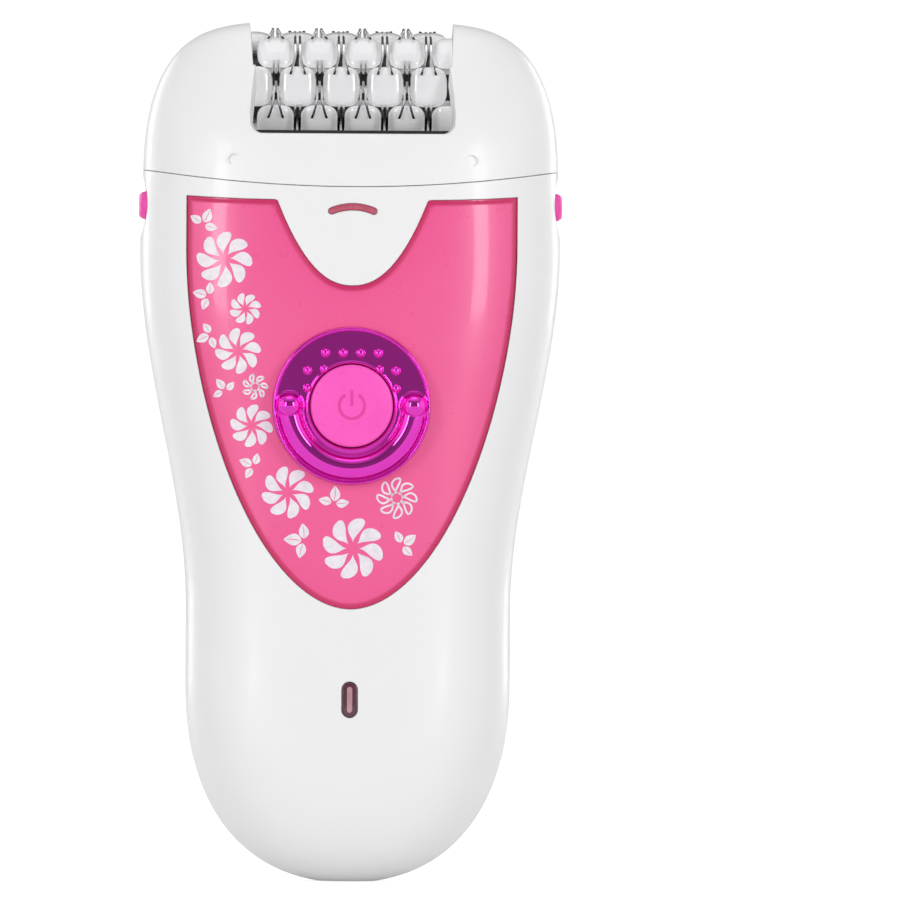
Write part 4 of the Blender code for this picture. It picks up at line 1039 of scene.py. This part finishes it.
def ring_dots():
    """The pattern of dots above the ridge; those nearest to the button are moved clear of it."""
    shape = Shape()
    for row, columns in ((3, (-1.5, -0.5, 0.5, 1.5)), (2, (-2.5, -1.5, 1.5, 2.5)), (1, (-2.5, 2.5))):
        for column in columns:
            x, z = column * DOT_PITCH, row * DOT_PITCH
            shift = max(1.0, (RING_BORE + 0.56) / hypot(x, z))
            shape.add(dome(x * shift, z * shift, RING_FACE_Y + 0.1, DOT_RADIUS, 0.6))
    return shape


def button_face_y(radius):
    """Height of the slightly crowned button face."""
    return BUTTON_FRONT_Y + 0.18 * (radius / BUTTON_RADIUS) ** 2


def power_button():
    """Crowned button with a rounded edge, and the flange and stem behind it."""
    rim = BUTTON_RADIUS - BUTTON_EDGE
    profile = [(radius, button_face_y(radius)) for radius in (0, 1, 2, 3, 4, 5, 5.6)]
    for a in steps_between(0.0, pi / 2, 7)[1:]:
        drop = BUTTON_EDGE * (1 - cos(a))
        profile.append((rim + BUTTON_EDGE * sin(a), button_face_y(rim) + drop))
    profile += [(BUTTON_RADIUS, -14.4), (7.3, -14.4), (7.3, -13.5), (1.6, -13.5), (1.6, -12.7), (0, -12.7)]
    return lathe(profile, "y", (0, SWITCH_Z), 128)


def button_dots():
    shape = Shape()
    for row in (-2, -1, 0, 1, 2):
        for column in (-1.5, -0.5, 0.5, 1.5):
            x, z = column * DOT_PITCH, row * DOT_PITCH
            reach = hypot(x, z)
            if 2.9 < reach < BUTTON_RADIUS - 0.6:
                shape.add(dome(x, z, button_face_y(reach) + 0.02, 0.42, 0.09, 20))
    return shape


def inlaid_bar(points):
    """Square bar along flat points, all but flush with the button's face."""
    rings = []
    for i, (x, z) in enumerate(points):
        dx, dz = square_to(points[max(i - 1, 0)], points[min(i + 1, len(points) - 1)])
        y = button_face_y(hypot(x, z))
        corners = ((-0.22, 0.2), (-0.22, -0.03), (0.22, -0.03), (0.22, 0.2))
        rings.append([(x + dx * w, y + dy, SWITCH_Z + z + dz * w) for w, dy in corners])
    return loft(rings)


def power_sign():
    """The generic power sign, a broken circle and a bar, inlaid in the button."""
    circle_part = inlaid_bar(arc_points(SIGN_RADIUS, radians(122), radians(418)))
    return circle_part.add(inlaid_bar([(0, 0.0), (0, 2.45)]))


# ---- lights, side buttons, screws, springs


def lamp_window(steps=40):
    """Domed crescent with a deep back, narrowing to nothing at its ends."""
    reach = LAMP_HALF_TURN + LAMP_THICK / LAMP_ARC_RADIUS
    rings = []
    for t in steps_between(-reach, reach, steps):
        past = max(0.0, abs(t) - LAMP_HALF_TURN) * LAMP_ARC_RADIUS
        thick = max(0.03, sqrt(max(0.0, LAMP_THICK**2 - past**2)))
        x, z = lamp_point(t)
        y = float(front_y(x, z)) - 0.02
        loop = []
        for a in turns(16):
            w = thick * cos(a)
            depth = (0.16 if sin(a) > 0 else 1.9) * sin(a)
            loop.append((x + w * sin(t), y - depth, z + w * cos(t)))
        rings.append(loop)
    return loft(rings)


def crescent_rim_shade(points):
    """Marks the long edges of the skin light's window, where its finish paints shade."""
    off = np.abs(np.hypot(points[:, 0], points[:, 2] - LAMP_Z + LAMP_ARC_RADIUS) - LAMP_ARC_RADIUS)
    return smoothstep((off - 0.25) / 0.2)


def release_cap(side):
    """Oval side button with fine grip ribs, and its hook behind it."""
    outline = [(y, z + RELEASE_Z) for y, z in stadium(RELEASE_HALF_LENGTH, RELEASE_HALF_HEIGHT, 24)]
    shape = pillow(outline, side * RELEASE_FACE_X, side * 28.4, 1.3, "x")
    face = side * (RELEASE_FACE_X - 0.02)
    for k in (-2, -1, 0, 1, 2):
        rib = [(y + k * 1.2, z + RELEASE_Z) for z, y in stadium(0.85, 0.2, 8)]
        shape.add(pillow(rib, face, face - side * 0.6, 0.1, "x"))
    for inner, outer, reach, low, high in (
        (27.6, 28.6, 5.9, -4.4, 2.6),
        (23.0, 27.8, 2.2, -4.4, -3.5),
        (23.0, 23.9, 2.2, -4.4, -1.4),
        (23.7, 24.85, 2.2, -2.5, -1.4),
    ):
        x = sorted((side * inner, side * outer))
        shape.add(box(x, (-reach, reach), (RELEASE_Z + low, RELEASE_Z + high)))
    return shape


def case_screw(x, z):
    """Cross-head screw, its head a pan just under the rear shell's face."""
    profile = [(0, -11.9), (0.9, -11.3), (0.9, 0), (1.85, 0), (1.85, 0.7), (1.7, 0.92), (1.4, 1), (0, 1)]
    screw = lathe([(radius, SCREW_HEAD_Y + y) for radius, y in profile], "y", (x, z), 40)
    cross = []
    for a, b in ((1.15, 0.2), (0.2, 1.15)):
        cross.append(box((x - a, x + a), (SCREW_HEAD_Y + 0.35, SCREW_HEAD_Y + 2), (z - b, z + b)))
    return boolean(screw, cross)


def coil_spring(side, coils=4, steps=28):
    """Wire spring behind a side button."""
    rings = []
    rise = steps_between(SPRING_WIRE, SPRING_LENGTH - SPRING_WIRE, coils * steps)
    for i, x in enumerate(rise):
        t = 2 * pi * i / steps
        loop = []
        for a in turns(10):
            radius = SPRING_RADIUS + SPRING_WIRE * cos(a)
            place = side * (SPRING_X + x + SPRING_WIRE * sin(a))
            loop.append((place, radius * cos(t), SPRING_Z + radius * sin(t)))
        rings.append(loop)
    return loft(rings)


# ---- tweezer drum


def polar(x, radius, angle):
    """Point at an angle round the drum's axis."""
    return x, radius * cos(angle), DRUM_Z + radius * sin(angle)


def row_angle(row):
    """Row 1 faces the front, and the rows count down from there."""
    return pi + ROW_ANGLE * (row - 1)


def row_shift(row):
    """Every other row is set half a barrel to the side."""
    return -HALF_STEP if row % 2 else HALF_STEP


def barrel_top(u, v):
    """Radius of a barrel's face: crowned across its width (u) and rounded off at its ends (v)."""
    return BARREL_RADIUS - 0.72 * abs(u) ** 2.6 - 0.34 * abs(v) ** 6


def barrel(x, angle, points=44):
    """One white lobe: a crowned pillow with round corners on a narrower stalk."""
    levels = [(share, 0.0) for share in (0.0001, 0.2, 0.4, 0.58, 0.72, 0.82)]
    for t in steps_between(0.0, pi / 2, 7)[1:]:
        levels.append((0.82 + 0.18 * sin(t), 0.5 - 0.5 * cos(t)))
    levels += [(0.99, 1.1), (0.90, 1.7), (0.66, 2.2), (0.52, 2.6), (0.5, BARREL_RADIUS - HUB_RADIUS + 0.6)]
    rings = []
    for share, drop in levels:
        ring = []
        for t in turns(points):
            c, s = cos(t), sin(t)
            u = copysign(abs(c) ** (2 / 3.6), c) * share
            v = copysign(abs(s) ** (2 / 3.6), s) * share
            crown = barrel_top(u, v) if drop < 1 else BARREL_RADIUS
            px = x + u * BARREL_HALF_WIDTH * (1 - 0.05 * v * v)
            px = min(max(px, -DRUM_END_X), DRUM_END_X)
            ring.append(polar(px, crown - drop, angle + v * BARREL_HALF_LENGTH / BARREL_RADIUS))
        rings.append(ring)
    return loft(rings)


def ring_middle(number):
    return (number - 1 - (RINGS - 1) / 2) * PITCH


def barrel_ring(number):
    shape = Shape()
    for row in range(1, ROWS + 1):
        shape.add(barrel(ring_middle(number) + row_shift(row), row_angle(row)))
    return shape


def ring_hub(number):
    """Dark core that carries the barrels of one ring."""
    half = PITCH / 2 - 0.3
    low = max(ring_middle(number) - half, -DRUM_END_X)
    high = min(ring_middle(number) + half, DRUM_END_X)
    hub = [(AXLE_BORE, low), (HUB_RADIUS - 0.2, low), (HUB_RADIUS, low + 0.2), (HUB_RADIUS, high - 0.2)]
    hub += [(HUB_RADIUS - 0.2, high), (AXLE_BORE, high)]
    return lathe(hub, "x", (0, DRUM_Z), 64, closed=True)


def tip_shade_amount(points):
    """Marks the ends of the blades' sprung feet, seen from their angle round the drum, for painted shade.
    """
    turn = np.arctan2(points[:, 2] - DRUM_Z, points[:, 1])
    reach = np.hypot(points[:, 1], points[:, 2] - DRUM_Z)
    past = np.degrees((turn - pi) % ROW_ANGLE)
    return np.where(reach > JAW_ROOT_RADIUS - 0.3, smoothstep((past - 29.5) / 1.5), 0.0)


def plate_section(x, inner, outer, angle, nip=0.07):
    """Rounded rectangle across a bent plate."""
    half = JAW_THICKNESS / 2
    flat = half - nip
    corners = [(-half, inner + nip), (-flat, inner), (flat, inner), (half, inner + nip)]
    corners += [(half, outer - nip), (flat, outer), (-flat, outer), (-half, outer - nip)]
    return [polar(x + dx, radius, angle) for dx, radius in corners]


def blade(x, side, angle, steps=26):
    """Gripping edge of a tweezer plate: shut at its upper end, sprung apart at its lower end."""
    rings = []
    for i, degrees in enumerate(steps_between(-27, 33, steps)):
        spread = max(0.0, (degrees - 12) / 21)
        flare = 0.78 * spread**1.25
        ends = min(1.0, 0.35 + 0.65 * min(i, steps - i) / 2)
        inner = JAW_ROOT_RADIUS + 0.12 * (1 - ends)
        outer = JAW_TIP_RADIUS - 0.14 * (1 - ends) - 0.1 * spread
        rings.append(plate_section(x + side * flare, inner, outer, angle + radians(degrees)))
    return loft(rings)


def bent_arm(angle, stations, steps=5):
    """Plate through (x, radius, from degrees, to degrees) stations about an angle, eased between them."""
    rings = []
    for one, two in zip(stations, stations[1:]):
        for i in range(steps):
            t = float(smoothstep(i / steps))
            rings.append([a + (b - a) * t for a, b in zip(one, two)])
    rings.append(stations[-1])
    half = JAW_THICKNESS / 2
    loops = []
    for x, radius, lead, trail in rings:
        lead, trail = angle + radians(lead), angle + radians(trail)
        corners = ((-half, lead), (half, lead), (half, trail), (-half, trail))
        loops.append([polar(x + dx, radius, turn) for dx, turn in corners])
    return loft(loops)


def jaw_star(x):
    """Star plate: the fixed half of the tweezers between two rings."""
    hub = [(AXLE_BORE, x - 0.18), (5.3, x - 0.18), (5.3, x + 0.18), (AXLE_BORE, x + 0.18)]
    shape = lathe(hub, "x", (0, DRUM_Z), 64, closed=True)
    for row in range(1, ROWS + 1):
        blade_x = x + row_shift(row) - JAW_OFFSET
        shape.add(blade(blade_x, -1, row_angle(row)))
        stations = [(x, 4.6, -9, 9), (x, 5.5, -8, 8), (blade_x, 6.7, -8, 8), (blade_x, 9.1, -9, 9)]
        shape.add(bent_arm(row_angle(row), stations))
    return shape


def jaw_row(row):
    """Sliding rod in the valley beside a row of barrels, with the moving half of each tweezer."""
    angle = row_angle(row)
    rod = []
    for x, nip in ((-15.5, 0.06), (-15.4, 0.0), (16.2, 0.0), (16.3, 0.06)):
        low, high, turn = 5.72 + nip, 6.45 - nip, 0.066 * (1 - nip)
        corners = ((low, -turn), (low, turn), (high, turn), (high, -turn))
        rod.append([polar(x, radius, angle + ROW_ANGLE / 2 + a) for radius, a in corners])
    shape = loft(rod)
    for gap in range(RINGS - 1):
        x = (gap - (RINGS - 2) / 2) * PITCH + row_shift(row) + JAW_OFFSET
        shape.add(blade(x, 1, angle))
        shape.add(bent_arm(angle, [(x, 6.1, 19.6, 25.2), (x, 7.4, 12.0, 20.0), (x, 9.1, 1.0, 11.0)]))
    return shape


# ---- build


def build_body():
    add_piece("body_front", front_body(), "white_gloss", "body", "front_shell")
    add_piece("body_rear", rear_body(), "white_gloss", "body", "rear_shell")
    # painted shade for the panel's edge and bevelled rim
    shades = {"rim": rim_shade_amount, "deep": edge_shade_amount}
    add_piece("panel", decor_panel(), "pink_panel", "body", "decor_panel", 40, rules=shades)
    add_piece("print_blossoms", blossoms(False), "flower_ink", "body", slot="pink_panel")
    add_piece("print_outlined_blossoms", blossoms(True), "flower_ink", "body", slot="pink_panel")
    add_piece("print_leaves", leaf_trios(), "flower_ink", "body", slot="pink_panel")
    ring = ring_base().add(smile()).add(ball(-RIDGE_RADIUS)).add(ball(RIDGE_RADIUS)).add(ring_dots())
    add_piece("ring", ring, "magenta_chrome", "body", "switch_ring", 50)
    # painted shade on the long edges of the skin light's window
    rim = {"rim": crescent_rim_shade}
    add_piece("crescent", lamp_window(), "pink_window", "body", "lamp_window", 60, rules=rim)
    lens_y = float(front_y(0, LENS_Z))
    lens = pillow(upright_slot(2.75, 1.18), lens_y - 0.08, -13.2, 0.25)
    add_piece("lens", lens, "smoked_lens", "body", "indicator_lens", 50)
    core = pillow(upright_slot(2.05, 0.42), lens_y - 0.16, lens_y + 0.8, 0.12)
    add_piece("lens_core", core, "lens_core", "body", slot="smoked_lens")
    for number, spot in enumerate(SCREW_SPOTS, 1):
        add_piece(f"screw_{number}", case_screw(*spot), "steel", "body", f"case_screw_{number}")


def build_controls():
    add_piece("button", power_button(), "pink_button", "power_switch", "power_button", 40)
    add_piece("button_dots", button_dots(), "pink_button", "power_switch", sharp=60)
    add_piece("button_sign", power_sign(), "button_sign", "power_switch", slot="pink_button")
    for name, side in (("left", -1), ("right", 1)):
        add_piece(f"spring_{name}", coil_spring(side), "steel", "body", f"release_spring_{name}", 60)
        node, body = f"release_button_{name}", f"release_{name}"
        add_piece(f"side_button_{name}", release_cap(side), "side_pink", body, node, 40, "pink_button")


def build_head():
    add_piece("head_shell", head_shell(), "white_gloss", "head", "head_cover")
    add_piece("head_marks", head_mark(-HEAD_MARK_X).add(head_mark(HEAD_MARK_X)), "white_gloss", "head")


def build_drum():
    for number in range(1, RINGS + 1):
        node = f"barrel_ring_{number}"
        add_piece(f"barrels_{number}", barrel_ring(number), "pearl", "drum", node, 60)
        add_piece(f"hub_{number}", ring_hub(number), "black_plastic", "drum")
    # the tip attribute carries painted shade on the blades' feet
    steel = {"finish": "jaw_steel", "sharp": 40, "slot": "steel", "rules": {"tip": tip_shade_amount}}
    for number in range(1, RINGS):
        star = jaw_star((number - RINGS / 2) * PITCH)
        add_piece(f"fixed_jaws_{number}", star, body="drum", node=f"jaw_star_{number}", **steel)
    for number in range(1, ROWS + 1):
        row, body = jaw_row(number), f"jaws_{number}"
        add_piece(f"moving_jaws_{number}", row, body=body, node=f"jaw_row_{number}", **steel)


def finish_cad_nodes():
    """Gives every CAD node its slot's finish; some of the nodes inside still show."""
    slots = {part["node"]: part["material_slot"] for part in frame["record"]["subparts"]}
    for name, obj in frame["nodes"].items():
        obj.data.materials.clear()
        obj.data.materials.append(FINISHES[slots[name]])


# ---- stage

CAMERA_LENS = 800.0
FRAME_HEIGHT = 0.1416
AIM_HEIGHT = 0.0678
OFF_CENTRE = 0.0159
CAMERA_AZIMUTH = radians(-1.5)
CAMERA_ROLL = radians(0.35)
# how bright reflections find the surroundings: straight below, at heights between, straight above
LEVELS = ((0.0, 0.6), (0.465, 0.72), (0.483, 0.36), (0.491, 0.24), (0.625, 0.22), (0.8, 0.17), (1.0, 0.9))
# name, place, (width, height), watts
SOFTBOXES = (
    ("left_softbox", (-0.78, -0.92, 0.30), (0.17, 0.9), 4.4),
    ("right_softbox", (0.78, -0.92, 0.30), (0.17, 0.9), 4.4),
    ("back_left_softbox", (-0.78, 0.92, 0.30), (0.4, 0.9), 3.6),
    ("back_right_softbox", (0.78, 0.92, 0.30), (0.4, 0.9), 3.6),
    ("top_softbox", (0, 0.1, 1.3), (0.8, 0.8), 1.9),
)
SOFTBOX_AIM = Vector((0, 0, 0.07))


def make_world():
    """White studio, told apart by who looks.

    The camera sees pure white. Lit surfaces get less from the sides than from front and back.
    Reflections find it dark above, bright below and bright on both sides.
    """
    world = bpy.data.worlds.new("studio")
    bpy.context.scene.world = world
    world.use_nodes = True
    g = Graph(world.node_tree, "Generated")
    x, y, z = g.node("SeparateXYZ", {0: g.where}).outputs
    lit = g.mix(g.math("MULTIPLY", y, y), (0.47, 0.47, 0.475), (0.66, 0.66, 0.665))
    height = g.node("ValToRGB", {"Fac": g.spread(z, 0.0, 1.0, -1.0, 1.0)})
    stops = height.color_ramp.elements
    for position, _ in LEVELS[1:-1]:
        stops.new(position)
    for stop, (_, level) in zip(stops, LEVELS):
        stop.color = (level, level, level, 1)
    sideways = g.spread(g.math("MULTIPLY", x, x), 0.0, 1.0, 0.42, 0.7)
    mirrored = g.mix(sideways, height.outputs["Color"], (1.0, 1.0, 1.0))
    ray = g.node("LightPath").outputs
    unseen = g.mix(ray["Is Glossy Ray"], lit, mirrored)
    colour = g.mix(ray["Is Camera Ray"], unseen, (1.05, 1.05, 1.05))
    back = g.node("Background", {"Color": colour})
    g.node("OutputWorld", {"Surface": back.outputs[0]})


def make_floor():
    """A plain pale disc that melts into the white surroundings, keeping a soft contact shadow."""
    points = [(x * MM, y * MM, 0.0) for x, y in circle(1250.0, segments=128)]
    mesh = bpy.data.meshes.new("floor")
    mesh.from_pydata(points, [], [tuple(range(len(points)))])
    floor = new_object("floor", mesh)
    floor.location.z = -0.0001
    g = Finish("floor")
    away = g.node("VectorMath", {0: g.where}, operation="LENGTH").outputs["Value"]
    camera_ray = g.node("LightPath").outputs["Is Camera Ray"]
    seen = g.math("MULTIPLY", g.spread(away, 0.5, 1.05, 0.1, 0.5), camera_ray)
    tint = g.mottle(3, 2.0, (0.70, 0.70, 0.70), (0.72, 0.72, 0.72))
    g.finish(Base_Color=tint, Roughness=0.9)
    g.finish(Emission_Color=(1.0, 1.0, 1.0), Emission_Strength=g.math("ADD", 0.14, seen))
    mesh.materials.append(FINISHES["floor"])


def make_softboxes():
    for name, place, size, watts in SOFTBOXES:
        data = bpy.data.lights.new(name, "AREA")
        data.shape = "RECTANGLE"
        data.size, data.size_y = size
        data.energy = watts
        light = new_object(name, data)
        light.location = place
        light.visible_camera = False
        light.rotation_euler = (SOFTBOX_AIM - Vector(place)).to_track_quat("-Z", "Y").to_euler()


def make_camera():
    """A long lens, all but straight on to the front, with the object left of the picture's middle."""
    camera = new_object("camera", bpy.data.cameras.new("camera"))
    camera.data.lens = CAMERA_LENS
    distance = FRAME_HEIGHT * CAMERA_LENS / camera.data.sensor_width
    turn = Matrix.Rotation(CAMERA_AZIMUTH, 4, "Z")
    place = turn @ Vector((OFF_CENTRE, -distance, 0)) + Vector((0, 0, AIM_HEIGHT))
    upright = Matrix.Rotation(radians(90), 4, "X")
    camera.matrix_world = Matrix.Translation(place) @ turn @ upright @ Matrix.Rotation(CAMERA_ROLL, 4, "Z")
    camera.data.clip_start = 0.01
    bpy.context.scene.camera = camera


def make_stage():
    make_world()
    make_floor()
    make_softboxes()
    make_camera()
    scene = bpy.context.scene
    scene.view_settings.view_transform = "Standard"
    scene.cycles.use_denoising = True
    scene.cycles.max_bounces = 8


def main():
    make_finishes()
    build_body()
    build_controls()
    build_head()
    build_drum()
    finish_cad_nodes()
    make_stage()


main()
